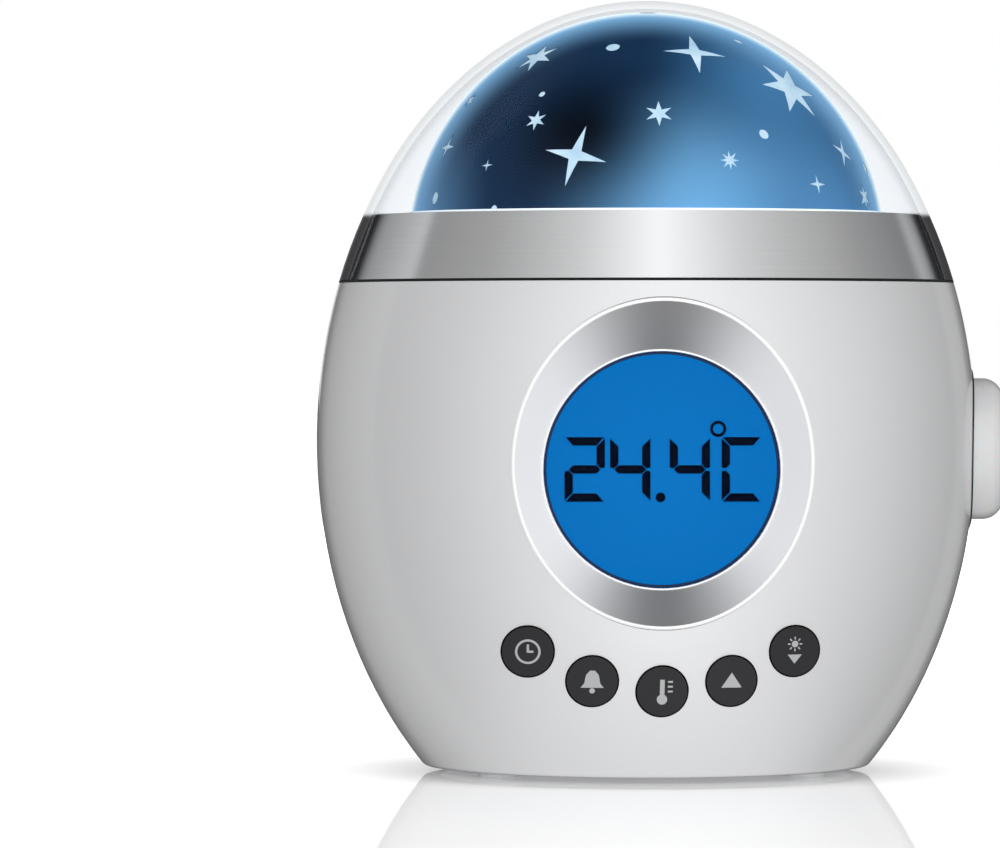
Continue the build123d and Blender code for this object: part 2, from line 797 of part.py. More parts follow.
def trim_band():
    """Conical ring inside the cover's foot, with a lip that runs in to the dome."""
    inset = cover_wall + band_gap
    low = egg_radius_at(seam_high_z, inset)
    high = egg_radius_at(band_top_z, inset)
    lip_radius = dome_radius + dome_gap
    lip_low = band_top_z - band_wall
    outline = Polyline(
        (low, 0, seam_high_z),
        (high, 0, band_top_z),
        (lip_radius, 0, band_top_z),
        (lip_radius, 0, lip_low),
        (high - band_wall, 0, lip_low),
        (low - band_wall, 0, seam_high_z),
        close=True,
    )
    return revolve(make_face(outline), Axis.Z)


def lamp_deck():
    """Black deck that closes the housing and carries the band, the dome and the lamp board."""
    deck = along_z(0, 0, deck_low_z, seam_high_z, deck_radius)
    ring_radius = dome_radius - dome_wall - seat_clearance
    ring_high = seam_high_z + dome_ring_height
    ring = along_z(0, 0, seam_high_z, ring_high, ring_radius)
    ring -= along_z(0, 0, seam_high_z, ring_high, ring_radius - dome_ring_wall)
    rib_low = deck_low_z - deck_rib_depth
    half = deck_rib_width / 2
    rib = block(deck_hub_radius, deck_rib_reach, -half, half, rib_low, deck_low_z)
    ribs = [Rot(0, 0, turn * 45) * rib for turn in range(8)]
    cuts = [along_z(0, wire_hole_reach, rib_low, seam_high_z, wire_hole_radius)]
    for x, y in deck_screw_places():
        cuts.append(along_z(x, y, deck_low_z, seam_high_z, pilot))
    return deck + ring + ribs - cuts


def star_outline(points, size, waist):
    """Star with long points: alternate tips and waists on two circles."""
    corners = []
    for index in range(points * 2):
        radius = size / 2 if index % 2 == 0 else size / 2 * waist
        angle = pi * index / points + pi / 2
        corners.append((radius * cos(angle), radius * sin(angle)))
    return make_face(Polyline(*corners, close=True))


def on_dome(azimuth, elevation):
    """Plane that touches the dome, its Y axis pointing up the dome."""
    return Pos(0, 0, dome_z) * Rot(0, 0, azimuth) * Rot(90 - elevation, 0, 0)


def star_cutters():
    """Star-shaped prisms for the front half of the dome."""
    depth = dome_wall * 4
    windows = []
    sets = (
        (4, four_point_waist, four_point_stars),
        (6, small_star_waist, six_point_stars),
        (8, small_star_waist, eight_point_stars),
    )
    for points, waist, stars in sets:
        for azimuth, elevation, size, tilt in stars:
            windows.append((azimuth, elevation, tilt, star_outline(points, size, waist)))
    for azimuth, elevation, size in round_stars:
        windows.append((azimuth, elevation, 0, Circle(size / 2)))
    cutters = []
    for azimuth, elevation, tilt, outline in windows:
        place = on_dome(azimuth, elevation) * Pos(0, 0, dome_radius - depth / 2) * Rot(0, 0, tilt)
        cutters.append(place * extrude(outline, depth))
    return cutters


def dome_half(radius):
    """Round top that stands on the deck, on an upright skirt where its middle lies above the deck."""
    reach = radius + overrun
    foot = max(dome_z, seam_high_z)
    top = Pos(0, 0, dome_z) * Sphere(radius) & block(-reach, reach, -reach, reach, foot, dome_z + reach)
    if foot == seam_high_z:
        return top
    return top + along_z(0, 0, seam_high_z, foot, radius)


def star_dome():
    """Thin dark dome with star-shaped windows, the same set at the front and at the rear."""
    shell = dome_half(dome_radius) - dome_half(dome_radius - dome_wall)
    front = star_cutters()
    rear = [mirror(cutter, Plane.XZ) for cutter in front[:-1]]
    return shell - (front + rear)


def lamp_board():
    return along_z(0, 0, seam_high_z, seam_high_z + board_thickness, lamp_board_radius)


def lamp_leds():
    """Three domed LEDs that throw the stars on the ceiling."""
    solids = []
    foot = seam_high_z + board_thickness
    for turn in range(lamp_led_count):
        angle = pi / 2 + 2 * pi * turn / lamp_led_count
        x = lamp_circle * cos(angle)
        y = lamp_circle * sin(angle)
        high = foot + lamp_led_height - lamp_led_radius
        body = along_z(x, y, foot, high, lamp_led_radius) + Pos(x, y, high) * Sphere(lamp_led_radius)
        rim = along_z(x, y, foot, foot + lamp_led_rim_height, lamp_led_radius + lamp_led_rim)
        solids.append(body + rim)
    return solids


# ================================================================ display
window_face = display_depth - window_lip
window_back = window_face - window_thickness
lcd_face = window_back - seat_clearance
lcd_back = lcd_face - lcd_thickness
guide_face = lcd_back - screw_clearance
guide_back = guide_face - light_guide_thickness


def display_bezel():
    """Silver dish that runs from the curved wall in to the window, with a collar for the window."""
    spread = dish_slope * (outside - display_depth)
    outer_radius = display_radius + dish_wall - screw_clearance
    outer = cone_y(0, display_z, -display_depth, -outside, outer_radius, outer_radius + spread)
    collar_radius = display_radius + window_border + dish_wall
    collar = along_y(0, display_z, -window_back, -display_depth - collar_step, collar_radius)
    inner = cone_y(0, display_z, -display_depth, -outside, display_radius, display_radius + spread)
    pocket = along_y(0, display_z, -window_back, -window_face, display_radius + window_border)
    hole = along_y(0, display_z, -window_back, -display_depth, display_radius)
    dish = (outer + collar) - [inner, pocket, hole]
    return dish & egg_slice(base_z, seam_low_z)


def display_window():
    radius = display_radius + window_border - seat_clearance
    return along_y(0, display_z, -window_back, -window_face, radius)


def square_plate(size, start, end):
    half = size / 2
    return block(-half, half, start, end, display_z - half, display_z + half)


def lcd_panel():
    return square_plate(lcd_size, -lcd_back, -lcd_face)


def light_guide():
    return square_plate(lcd_size, -guide_back, -guide_face)


def display_frame():
    """White frame that stands on the board and holds the panel and its light guide."""
    pocket = lcd_size + seat_clearance * 2
    frame = square_plate(pocket + frame_wall * 2, -board_depth, -lcd_face)
    frame -= square_plate(pocket, -guide_back, -lcd_face)
    return frame - square_plate(pocket - frame_pocket_step * 2, -board_depth, -guide_back)


# ================================================================ boards and switches
def tact_switch_y(x, z, side):
    """Square switch on a board, with a round plunger."""
    body_top = switch_top - plunger_height
    half = switch_size / 2
    body = block(x - half, x + half, side * board_depth, side * body_top, z - half, z + half)
    return body + along_y(x, z, side * body_top, side * switch_top, plunger_radius)


def front_board():
    half = front_board_width / 2
    back = board_depth - board_thickness
    board = block(-half, half, -back, -board_depth, board_low_z, egg_z + front_board_rise)
    holes = []
    for x_side in (-1, 1):
        for z in front_post_heights:
            holes.append(along_y(x_side * front_post_x, z, -back, -board_depth, pilot))
    return board - holes


def rear_board():
    half = rear_board_width / 2
    back = board_depth - board_thickness
    board = block(-half, half, back, board_depth, board_low_z, egg_z - rear_board_drop)
    return board - [along_y(x, z, back, board_depth, pilot) for x, z in rear_posts]


def key_switches(side):
    return [tact_switch_y(*key_place(index), side) for index in key_numbers]


def controller_chip():
    """Square chip on the inner face of the front board."""
    back = board_thickness - board_depth
    half = chip_size / 2
    z = egg_z - chip_drop
    return block(-half, half, back, back + chip_thickness, z - half, z + half)


def temperature_sensor():
    """Small bead sensor at the lower edge of the front board."""
    back = board_thickness - board_depth
    return along_y(sensor_x, egg_z - sensor_drop, back, back + sensor_length, sensor_radius)


def board_screws():
    """Screws of the front, rear and light-button boards."""
    solids = []
    back = board_depth - board_thickness
    size = (small_screw_length, small_shank, small_head, small_head_height)
    for x_side in (-1, 1):
        for z in front_post_heights:
            solids.append(screw_y(x_side * front_post_x, z, -back, *size, -1))
    for x, z in rear_posts:
        solids.append(screw_y(x, z, back, *size, 1))
    inner = light_board_face() - board_thickness
    for y, z in light_board_posts():
        shank = along_x(inner, inner + light_board_screw_length, y, z, small_shank)
        solids.append(shank + along_x(inner - small_head_height, inner, y, z, small_head))
    return solids


# ================================================================ push buttons
def push_button(index, side):
    """Button that follows the egg's curve, with a flange that keeps it in its guide tube."""
    x, z = key_place(index)
    flange_top = key_seat_depth - running_gap
    flange_low = flange_top - key_flange_thickness
    stem = along_y(x, z, flange_low, egg_radius, key_radius)
    reach = egg_slice(z - key_radius - overrun, z + key_radius + overrun, -key_proud)
    button = (stem & reach) + along_y(x, z, flange_low, flange_top, key_radius + key_flange)
    return mirrored(side, button)


# ================================================================ light button
def light_board_face():
    """Distance of the light button's board from the axis."""
    stem_end = light_key_seat - light_key_flange_thickness - light_key_stem_length
    return stem_end - light_key_travel - switch_gap - switch_height


def light_board_posts():
    return [(y, light_key_z + z) for y, z in light_board_screws]


def light_button():
    """Domed round cap with a retaining flange, hollow behind, and a stem for its switch."""
    side_reach = light_key_reach - light_key_dome
    flange_low = light_key_seat - light_key_flange_thickness
    flange_radius = light_key_radius + light_key_flange
    inner_radius = light_key_radius - light_key_wall
    roof = side_reach - light_key_wall
    stem_end = flange_low - light_key_stem_length
    outer = Polyline(
        (flange_low, inner_radius),
        (flange_low, flange_radius),
        (light_key_seat, flange_radius),
        (light_key_seat, light_key_radius),
        (side_reach, light_key_radius),
    )
    rim = Vector(side_reach, light_key_radius)
    crown = Vector(light_key_reach, 0)
    face = tangent_arcs(rim, Vector(1, 0), crown, Vector(0, -1))
    inner = Polyline(
        (light_key_reach, 0),
        (stem_end, 0),
        (stem_end, light_key_stem_radius),
        (roof, light_key_stem_radius),
        (roof, inner_radius),
        (flange_low, inner_radius),
    )
    return Pos(0, 0, light_key_z) * revolve(make_face(Curve() + [outer, *face, inner]), Axis.X)


def light_board():
    face = light_board_face()
    back = face - board_thickness
    front = -light_board_margin
    high = light_key_z + light_board_margin
    board = block(back, face, front, front + light_board_width, high - light_board_length, high)
    return board - [along_x(back, face, y, z, pilot) for y, z in light_board_posts()]


def light_switch():
    face = light_board_face()
    half = switch_size / 2
    body_top = face + switch_height - plunger_height
    body = block(face, body_top, -half, half, light_key_z - half, light_key_z + half)
    return body + along_x(body_top, face + switch_height, 0, light_key_z, plunger_radius)


# ================================================================ loudspeaker
def speaker_lugs(radius, start, end):
    """Cylinders at the screw places round the loudspeaker."""
    solids = []
    for angle in speaker_lug_angles:
        x = speaker_lug_circle * cos(radians(angle))
        z = speaker_z + speaker_lug_circle * sin(radians(angle))
        solids.append(along_y(x, z, start, end, radius))
    return solids


def speaker_basket():
    """Pressed rim and basket with the magnet behind it."""
    rim = along_y(0, speaker_z, speaker_rim_back, speaker_seat_depth, speaker_radius)
    mouth = speaker_radius - speaker_mouth_rim
    basket_mouth = mouth + speaker_basket_wall
    back = speaker_basket_back
    basket = cone_y(0, speaker_z, back, speaker_rim_back, speaker_magnet_radius, basket_mouth)
    magnet = along_y(0, speaker_z, back - speaker_magnet_height, back, speaker_magnet_radius)
    floor = back + speaker_basket_wall
    throat = speaker_magnet_radius - speaker_throat_wall
    return rim + basket + magnet - cone_y(0, speaker_z, floor, speaker_seat_depth, throat, mouth)


def speaker_cone():
    """Paper cone with its dust cap, inside the basket."""
    low = speaker_basket_back + paper_seat
    high = speaker_seat_depth - seat_clearance / 2
    mouth = speaker_radius - speaker_mouth_rim - paper_gap
    throat = speaker_magnet_radius - speaker_throat_wall + speaker_basket_wall
    paper = paper_thickness
    cone = cone_y(0, speaker_z, low, high, throat, mouth)
    cone -= cone_y(0, speaker_z, low + paper, high, throat - paper, mouth - paper)
    return cone + along_y(0, speaker_z, low, low + dust_cap_height, dust_cap_radius)


def speaker_clamp():
    """Ring with lugs that holds the loudspeaker against its seat."""
    back = speaker_rim_back - speaker_clamp_thickness
    ring = along_y(0, speaker_z, back, speaker_rim_back, speaker_radius + speaker_ring_wall)
    clamp = ring + speaker_lugs(post_radius, back, speaker_rim_back)
    clamp -= along_y(0, speaker_z, back, speaker_rim_back, speaker_radius - speaker_clamp_overlap)
    return clamp - speaker_lugs(pilot, back, speaker_rim_back)


def speaker_screws():
    back = speaker_rim_back - speaker_clamp_thickness
    shanks = speaker_lugs(small_shank, back, back + speaker_screw_length)
    heads = speaker_lugs(small_head, back - small_head_height, back)
    return [shank + head for shank, head in zip(shanks, heads)]


# ================================================================ power inlet and slide switch
def dc_jack():
    """Black inlet body on the rear board, its bore facing the pocket."""
    half = jack_width / 2
    low = jack_z - jack_body_height / 2
    body = block(jack_x - half, jack_x + half, board_depth, jack_face, low, low + jack_body_height)
    return body - along_y(jack_x, jack_z, jack_face - jack_bore_depth, jack_face, jack_bore)


def dc_jack_pin():
    foot = jack_face - jack_bore_depth
    return along_y(jack_x, jack_z, foot, foot + jack_pin_length, jack_pin_radius)


def slide_switch():
    """Switch body on the rear board, with a slot for the knob's pin."""
    half_width = slide_body_width / 2
    half_height = slide_body_height / 2
    low = slide_z - half_height
    body = block(-half_width, half_width, board_depth, slide_body_top, low, low + slide_body_height)
    slot = (slide_tongue + key_clearance) * 2
    floor = slide_body_top - slide_slot_depth
    return body - stadium_y(0, slide_z, floor, slide_body_top, slide_travel * 2 + slot, slot)


def slide_knob():
    """Oval knob with grip ribs, a flange behind the wall and a pin down to the switch."""
    height = slide_slot_height - key_clearance * 2
    knob_top = slide_floor_depth + slide_knob_proud
    low = slide_flange_top - slide_flange_thickness
    knob = stadium_y(0, slide_z, low, knob_top, slide_knob_width, height)
    rim = slide_flange * 2
    flange = stadium_y(0, slide_z, low, slide_flange_top, slide_knob_width + rim, height + rim)
    post = along_y(0, slide_z, slide_body_top + running_gap, low, slide_tongue * 2)
    pin = along_y(0, slide_z, slide_body_top - slide_tongue_depth, low, slide_tongue)
    half = slide_grip_pitch / 4
    grip_floor = knob_top - slide_grip_depth
    grips = []
    for index in (-1, 0, 1):
        x = index * slide_grip_pitch
        grips.append(block(x - half, x + half, grip_floor, knob_top, slide_z - height, slide_z + height))
    return (knob - grips) + flange + post + pin


# ================================================================ screws of the housing
def case_screw_set():
    size = (case_screw_length, case_shank, case_head, case_head_height)
    solids = []
    for x_side in (-1, 1):
        for x, z in case_screw_points():
            solids.append(screw_y(x_side * x, z, case_shoulder, *size, -1))
    return solids


def deck_screws():
    size = (small_screw_length, small_shank, small_head, small_head_height)
    return [screw_z(x, y, seam_high_z, *size, -1) for x, y in deck_screw_places()]


def base_screws():
    size = (small_screw_length, small_shank, small_head, small_head_height)
    solids = [screw_z(x, y, base_z + plate_counterbore, *size, 1) for x, y in plate_screw_places()]
    door_size = (small_screw_length, small_shank, small_head, door_thickness / 2 - seat_clearance)
    solids.append(screw_z(0, lobe_y, door_seat_z, *door_size, 1))
    return solids


# ================================================================ write the nodes
save("front_shell", front_shell())
save("rear_shell", rear_shell())
save("base_plate", base_plate())
save("battery_door", battery_door())
save("foot_pads", *foot_pads())
save("battery_cells", *battery_cells())
save("battery_contacts", *battery_contacts())
save("clear_cover", clear_cover())
save("trim_band", trim_band())
save("lamp_deck", lamp_deck())
save("star_dome", star_dome())
save("lamp_board", lamp_board())
save("lamp_leds", *lamp_leds())
save("display_bezel", display_bezel())
save("display_window", display_window())
save("lcd_panel", lcd_panel())
save("display_light_guide", light_guide())
save("display_frame", display_frame())
save("front_board", front_board())
save("front_switches", *key_switches(-1))
save("controller_chip", controller_chip())
save("temperature_sensor", temperature_sensor())
save("rear_board", rear_board())
save("rear_switches", *key_switches(1))
save("light_button", light_button())
save("light_board", light_board())
save("light_switch", light_switch())
save("speaker_basket", speaker_basket())
save("speaker_cone", speaker_cone())
save("speaker_clamp", speaker_clamp())
save("speaker_screws", *speaker_screws())
save("dc_jack", dc_jack())
save("dc_jack_pin", dc_jack_pin())
save("slide_switch", slide_switch())
save("slide_knob", slide_knob())
save("case_screws", *case_screw_set())
save("deck_screws", *deck_screws())
save("base_screws", *base_screws())
save("board_screws", *board_screws())

front_buttons = ("button_clock", "button_alarm", "button_thermometer", "button_up", "button_down")
rear_buttons = ("button_timer", "button_volume", "button_tune", "button_heart", "button_light")
for number, name in enumerate(front_buttons):
    save(name, push_button(number - 2, -1))
for number, name in enumerate(rear_buttons):
    save(name, push_button(2 - number, 1))
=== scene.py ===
"""Looks of the star night light projector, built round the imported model."""

from math import cos, pi, radians, sin, sqrt

import bmesh
import bpy
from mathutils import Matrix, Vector

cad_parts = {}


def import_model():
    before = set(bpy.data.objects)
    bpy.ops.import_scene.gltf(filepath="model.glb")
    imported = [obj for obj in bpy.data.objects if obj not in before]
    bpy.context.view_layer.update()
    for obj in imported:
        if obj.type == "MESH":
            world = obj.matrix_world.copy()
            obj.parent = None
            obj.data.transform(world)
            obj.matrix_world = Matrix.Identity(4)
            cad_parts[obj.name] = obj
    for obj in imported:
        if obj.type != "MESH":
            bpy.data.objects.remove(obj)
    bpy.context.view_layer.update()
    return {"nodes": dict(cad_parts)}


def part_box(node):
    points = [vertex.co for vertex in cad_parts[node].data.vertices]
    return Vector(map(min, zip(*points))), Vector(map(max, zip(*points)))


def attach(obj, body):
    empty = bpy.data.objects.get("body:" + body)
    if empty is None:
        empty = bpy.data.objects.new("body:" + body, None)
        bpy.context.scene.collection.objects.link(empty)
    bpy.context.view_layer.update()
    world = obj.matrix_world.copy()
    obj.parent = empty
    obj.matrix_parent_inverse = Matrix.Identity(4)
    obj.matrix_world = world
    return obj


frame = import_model()
nodes = frame["nodes"]
MM = 0.001

# ---------------------------------------------------------------- places taken from the frame
egg_radius = -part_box("front_shell")[0].x
window_low, window_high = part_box("display_window")
display_z = (window_low.z + window_high.z) / 2
window_face = window_low.y
lcd_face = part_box("lcd_panel")[0].y
dome_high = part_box("star_dome")[1]
dome_radius = dome_high.x
dome_z = dome_high.z - dome_radius
band_top_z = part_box("trim_band")[1].z
cover_low, cover_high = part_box("clear_cover")
cover_top_z = cover_high.z
seam_z = (cover_low.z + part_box("front_shell")[1].z) / 2

# ---------------------------------------------------------------- sizes of the pieces made here
egg_middle_z = 62.55 * MM       # height where the housing is widest
window_radius = 21.8 * MM       # of the dish's inner edge, where the window shows
dish_slope = 1.19               # growth of the dish's radius for each millimetre outwards
dish_depth = 52.0 * MM          # from the axis to the dish's inner edge
dish_painted_shade_power = 6.0          # how narrow the dish's painted shade fans are, above and below the window
rim_radius = 0.52 * MM          # of the pale bead round the dish's outer edge, a rounded edge painted paler as a highlight
rim_spread = 0.4 * MM           # by which the cone is widened to place that bead
rim_sink = 0.42 * MM            # of the bead's middle behind the housing's face
edge_radius = 0.28 * MM         # of the bright bead round the window, a painted highlight on the dish's inner edge
window_shadow_radius = 0.30 * MM       # of the dark bead inside the bright one, a painted shadow line round the window
window_shadow_inset = 0.48 * MM        # of the dark bead's middle inside the window's edge
digit_height = 11.8 * MM
digit_width = 7.4 * MM
letter_width = 7.3 * MM
stroke = 1.55 * MM              # width of a digit's segments
segment_gap = 0.18 * MM
ink_thickness = 0.08 * MM
ink_gap = 0.02 * MM             # between the digits and the lit panel
seam_radius = 0.34 * MM         # of the dark joint round the housing's top
gap_shade_radius = 0.22 * MM        # of the dark bead round the large side button, painted shade in its gap
joint_gap = 0.15 * MM           # between that button and the middle of the dark bead
icon_lift = 0.05 * MM           # of an icon's face above its button
icon_depth = 0.12 * MM          # from an icon's face back into its button
film_step = 0.09 * MM           # of the star film inside the dome's outer face
film_thickness = 0.1 * MM
film_rings = 40
film_sides = 128
foot_radius = 0.28 * MM         # of the bright bead at the dome's foot, a painted highlight
foot_spread = 0.15 * MM         # of the bead's middle outside the dome
foot_lift = 0.25 * MM           # of the bead's middle above the band
ring_steps = 160                # points along the large beads
joint_steps = 96                # points along the side button's joint
circle_steps = 32               # points round a printed circle
bead_resolution = 5             # Blender's measure of how round a bead is

# ---------------------------------------------------------------- sizes of the floor
floor_half = 12.0               # in metres
# Each glow is a brightness, and the two distances from the middle, in mm, between which it grows; near
# the object the floor stays dark, a painted shadow round its foot.
floor_glows_and_painted_shadow = ((0.40, 41, 66), (0.21, 150, 500))


# ================================================================ node helpers
def add_node(material, kind, inputs=None, **settings):
    """Shader node with its settings; an input is a value, or a socket to link from."""
    tree = material.node_tree
    made = tree.nodes.new(kind)
    for name, value in settings.items():
        setattr(made, name, value)
    for name, value in (inputs or {}).items():
        if isinstance(value, bpy.types.NodeSocket):
            tree.links.new(value, made.inputs[name])
        else:
            made.inputs[name].default_value = value
    return made


def shader_of(material):
    return material.node_tree.nodes["Principled BSDF"]


def link(material, socket, name):
    material.node_tree.links.new(socket, shader_of(material).inputs[name])


def new_material(name, colour, roughness, **sockets):
    """Principled material; the sockets' names are written with underscores for spaces."""
    material = bpy.data.materials.new(name)
    material.use_nodes = True
    shader = shader_of(material)
    shader.inputs["Base Color"].default_value = (*colour, 1)
    shader.inputs["Roughness"].default_value = roughness
    for socket, value in sockets.items():
        shader.inputs[socket.replace("_", " ")].default_value = value
    return material


def place(material, scale=(1, 1, 1)):
    """Place on the object in millimetres, scaled, for a texture to read."""
    coordinates = add_node(material, "ShaderNodeTexCoord")
    inputs = {"Vector": coordinates.outputs["Object"], "Scale": [s / MM for s in scale]}
    return add_node(material, "ShaderNodeMapping", inputs).outputs["Vector"]


def noise(material, vector, scale=1.0, detail=3.0, roughness=0.5):
    inputs = {"Vector": vector, "Scale": scale, "Detail": detail, "Roughness": roughness}
    return add_node(material, "ShaderNodeTexNoise", inputs).outputs["Fac"]


def span(material, value, low, high, from_low=0.0, from_high=1.0, smooth=False):
    """Value brought from one range to another."""
    kind = "SMOOTHSTEP" if smooth else "LINEAR"
    inputs = {
        "Value": value, "From Min": from_low, "From Max": from_high, "To Min": low, "To Max": high,
    }
    return add_node(material, "ShaderNodeMapRange", inputs, interpolation_type=kind).outputs["Result"]


def sums(material, kind, first, second=0.0):
    """Arithmetic on one or two values."""
    return add_node(material, "ShaderNodeMath", {0: first, 1: second}, operation=kind).outputs[0]


def distance_from(material, centre):
    """Distance from a point on the object, both in millimetres."""
    inputs = {0: place(material), 1: centre}
    return add_node(material, "ShaderNodeVectorMath", inputs, operation="DISTANCE").outputs["Value"]


def mix(material, share, first, second):
    """Mix of two colours or colour sockets."""
    made = add_node(material, "ShaderNodeMix", data_type="RGBA")
    for index, value in ((0, share), (6, first), (7, second)):
        if isinstance(value, bpy.types.NodeSocket):
            material.node_tree.links.new(value, made.inputs[index])
        elif index:
            made.inputs[index].default_value = (*value, 1)
        else:
            made.inputs[index].default_value = value
    return made.outputs[2]


def bump(material, height, distance, strength=1.0):
    inputs = {"Height": height, "Distance": distance, "Strength": strength}
    link(material, add_node(material, "ShaderNodeBump", inputs).outputs["Normal"], "Normal")


def mottle(material, colour, amount, scale):
    """Base colour that wanders a little, by a slow noise."""
    share = noise(material, place(material), scale, 4.0)
    darker = [c * (1 - amount) for c in colour]
    lighter = [min(1, c * (1 + amount)) for c in colour]
    link(material, mix(material, share, darker, lighter), "Base Color")


def moulded(name, colour, roughness, grain=6.0, depth=0.004, wander=0.03, **sockets):
    """Moulded plastic: fine spark grain, uneven gloss and a slight mottle."""
    material = new_material(name, colour, roughness, **sockets)
    mottle(material, colour, wander, 0.05)
    gloss = noise(material, place(material), 0.35, 5.0)
    link(material, span(material, gloss, roughness * 0.85, roughness * 1.2, 0.3, 0.7), "Roughness")
    fine = noise(material, place(material), grain, 2.0)
    bump(material, fine, depth * MM)
    return material


# ================================================================ materials
def pearl_housing():
    """Pearl-white lacquer: fine bright flakes under a clear coat."""
    material = new_material(
        "pearl_housing", (0.76, 0.765, 0.775), 0.45, Metallic=0.5, Coat_Weight=0.9, Coat_Roughness=0.04,
    )
    flakes = noise(material, place(material), 9.0, 1.0)
    slow = noise(material, place(material), 0.03, 4.0)
    tone = mix(material, slow, (0.745, 0.75, 0.76), (0.775, 0.78, 0.79))
    sparkle = mix(material, span(material, flakes, 0, 0.5, 0.55, 0.75), tone, (0.9, 0.9, 0.92))
    link(material, sparkle, "Base Color")
    link(material, span(material, flakes, 0.42, 0.5, 0.3, 0.7), "Roughness")
    bump(material, noise(material, place(material), 0.5, 2.0), 0.006 * MM, 0.4)
    return material


def brushed_band():
    """Silver film brushed round the band."""
    material = new_material("brushed_band", (0.68, 0.685, 0.69), 0.2, Metallic=1.0)
    lines = noise(material, place(material, (0.02, 0.02, 14)), 1.0, 5.0, 0.7)
    fine = noise(material, place(material, (0.05, 0.05, 40)), 1.0, 3.0, 0.6)
    link(material, mix(material, lines, (0.60, 0.605, 0.615), (0.76, 0.765, 0.77)), "Base Color")
    link(material, span(material, fine, 0.1, 0.19, 0.3, 0.7), "Roughness")
    bump(material, lines, 0.006 * MM, 0.15)
    return material


def dish_metal_painted_shine():
    """Metallised dish, turned about the display's axis, so its shine fans out to both sides: that shine
    is a painted highlight in its colour, with painted shade fans above and below the window.
    """
    material = new_material(
        "dish_metal_painted_shine", (0.7, 0.7, 0.72), 0.33, Metallic=0.35, Specular_IOR_Level=0.3,
    )
    coordinates = add_node(material, "ShaderNodeTexCoord").outputs["Object"]
    parts = add_node(material, "ShaderNodeSeparateXYZ", {"Vector": coordinates})
    height = sums(material, "SUBTRACT", parts.outputs["Z"], display_z)
    turned = sums(material, "ARCTAN2", parts.outputs["X"], height)
    upright = sums(material, "ABSOLUTE", sums(material, "COSINE", turned))
    share = sums(material, "POWER", upright, dish_painted_shade_power)
    radius = distance_from(material, (0, -dish_depth / MM, display_z / MM))
    lines = add_node(
        material, "ShaderNodeTexNoise", {"W": radius, "Scale": 5.0}, noise_dimensions="1D"
    ).outputs["Fac"]
    # Painted highlight at the sides of the window, painted shade above and below it.
    tone = mix(material, share, (0.93, 0.93, 0.94), (0.235, 0.235, 0.24))
    tone = mix(material, span(material, lines, 0, 0.08, 0.3, 0.7), tone, (0.5, 0.5, 0.51))
    link(material, tone, "Base Color")
    return material


def edge_share(material, start, end):
    """0 where a surface faces the eye, growing to 1 where it turns away."""
    facing = add_node(material, "ShaderNodeLayerWeight", {"Blend": 0.5}).outputs["Facing"]
    return span(material, facing, 0, 1, start, end, smooth=True)


def clear_plastic(name, gloss, bend=1.0, roughness=0.0):
    """Polished clear plastic with a trace of moulding waviness; with a bend of 1 it bends no light."""
    material = new_material(
        name, (0.985, 0.99, 1.0), roughness, Transmission_Weight=1.0, IOR=bend, Coat_Weight=gloss,
        Coat_Roughness=0.02,
    )
    bump(material, noise(material, place(material), 0.04, 2.0), 0.02 * MM, 0.3)
    return material


def cover_plastic_painted_edges():
    """Clear cover: its wall looks grey at the outline, and nearly black round the foot, both painted
    shade for the dark reflections of a wall seen edge-on.
    """
    foot_reach = 0.5
    material = clear_plastic("clear_cover", 0.1)
    height = add_node(material, "ShaderNodeSeparateXYZ", {"Vector": place(material)}).outputs["Z"]
    band_top = band_top_z / MM
    foot = span(material, height, 1, 0, band_top - foot_reach, band_top + foot_reach, smooth=True)
    body = mix(material, edge_share(material, 0.25, 0.7), (1, 1, 1), (0.955, 0.975, 0.995))
    # Grey where the wall turns away from the eye: painted shade.
    body = mix(material, edge_share(material, 0.72, 0.88), body, (0.84, 0.86, 0.875))
    # Nearly black round the foot's outline: painted shade.
    painted_dark = sums(material, "MULTIPLY", foot, edge_share(material, 0.64, 0.8))
    link(material, mix(material, painted_dark, body, (0.05, 0.05, 0.055)), "Base Color")
    return material


def glow_from(material, centre, reach):
    """1 at a point on the object, fading to 0 at a distance; both in millimetres."""
    return span(material, distance_from(material, centre), 1, 0, 0, reach, smooth=True)


def night_sky_painted_glow():
    """Dark dome with painted light: near-black at the front's upper left, painted blue glows of the
    lamps inside low on the right, pale behind.

    The two last mixes paint a bright rim by the angle to the eye, a painted highlight that moves with
    the view."""
    material = new_material(
        "night_sky_painted_glow", (0.01, 0.02, 0.06), 0.3, Specular_IOR_Level=0.0, Sheen_Weight=0.3,
        Sheen_Roughness=0.2, Sheen_Tint=(0.72, 0.9, 1, 1), Coat_Weight=0.08, Coat_Roughness=0.05,
        Emission_Strength=0.45,
    )
    middle = dome_z / MM
    # Painted glows of the lamps inside: each a centre and a reach in millimetres, and a colour.
    glows = (
        ((10, -42, middle + 2), 36, (0.11, 0.30, 0.53)),
        ((32, -30, middle + 4), 34, (0.055, 0.175, 0.35)),
        ((-43, -14, middle + 4), 24, (0.07, 0.17, 0.31)),
        ((22, -24, middle + 30), 26, (0.035, 0.13, 0.27)),
    )
    colour = (0.005, 0.020, 0.052)
    for centre, reach, blue in glows:
        colour = mix(material, glow_from(material, centre, reach), colour, blue)
    night = glow_from(material, (-14, -36, middle + 21), 22)
    colour = mix(material, night, colour, (0.001, 0.0025, 0.006))
    parts = add_node(material, "ShaderNodeSeparateXYZ", {"Vector": place(material)})
    across = span(material, parts.outputs["X"], 0, 1, -30, 38, smooth=True)
    day = mix(material, across, (0.34, 0.40, 0.44), (0.04, 0.16, 0.30))
    behind = span(material, parts.outputs["Y"], 0, 1, -2, 12, smooth=True)
    colour = mix(material, behind, colour, day)
    # Painted highlight: a bright rim by the angle to the eye.
    colour = mix(material, edge_share(material, 0.52, 0.9), colour, (0.17, 0.38, 0.62))
    colour = mix(material, edge_share(material, 0.79, 0.95), colour, (0.74, 0.86, 0.90))
    link(material, colour, "Base Color")
    link(material, colour, "Emission Color")
    return material


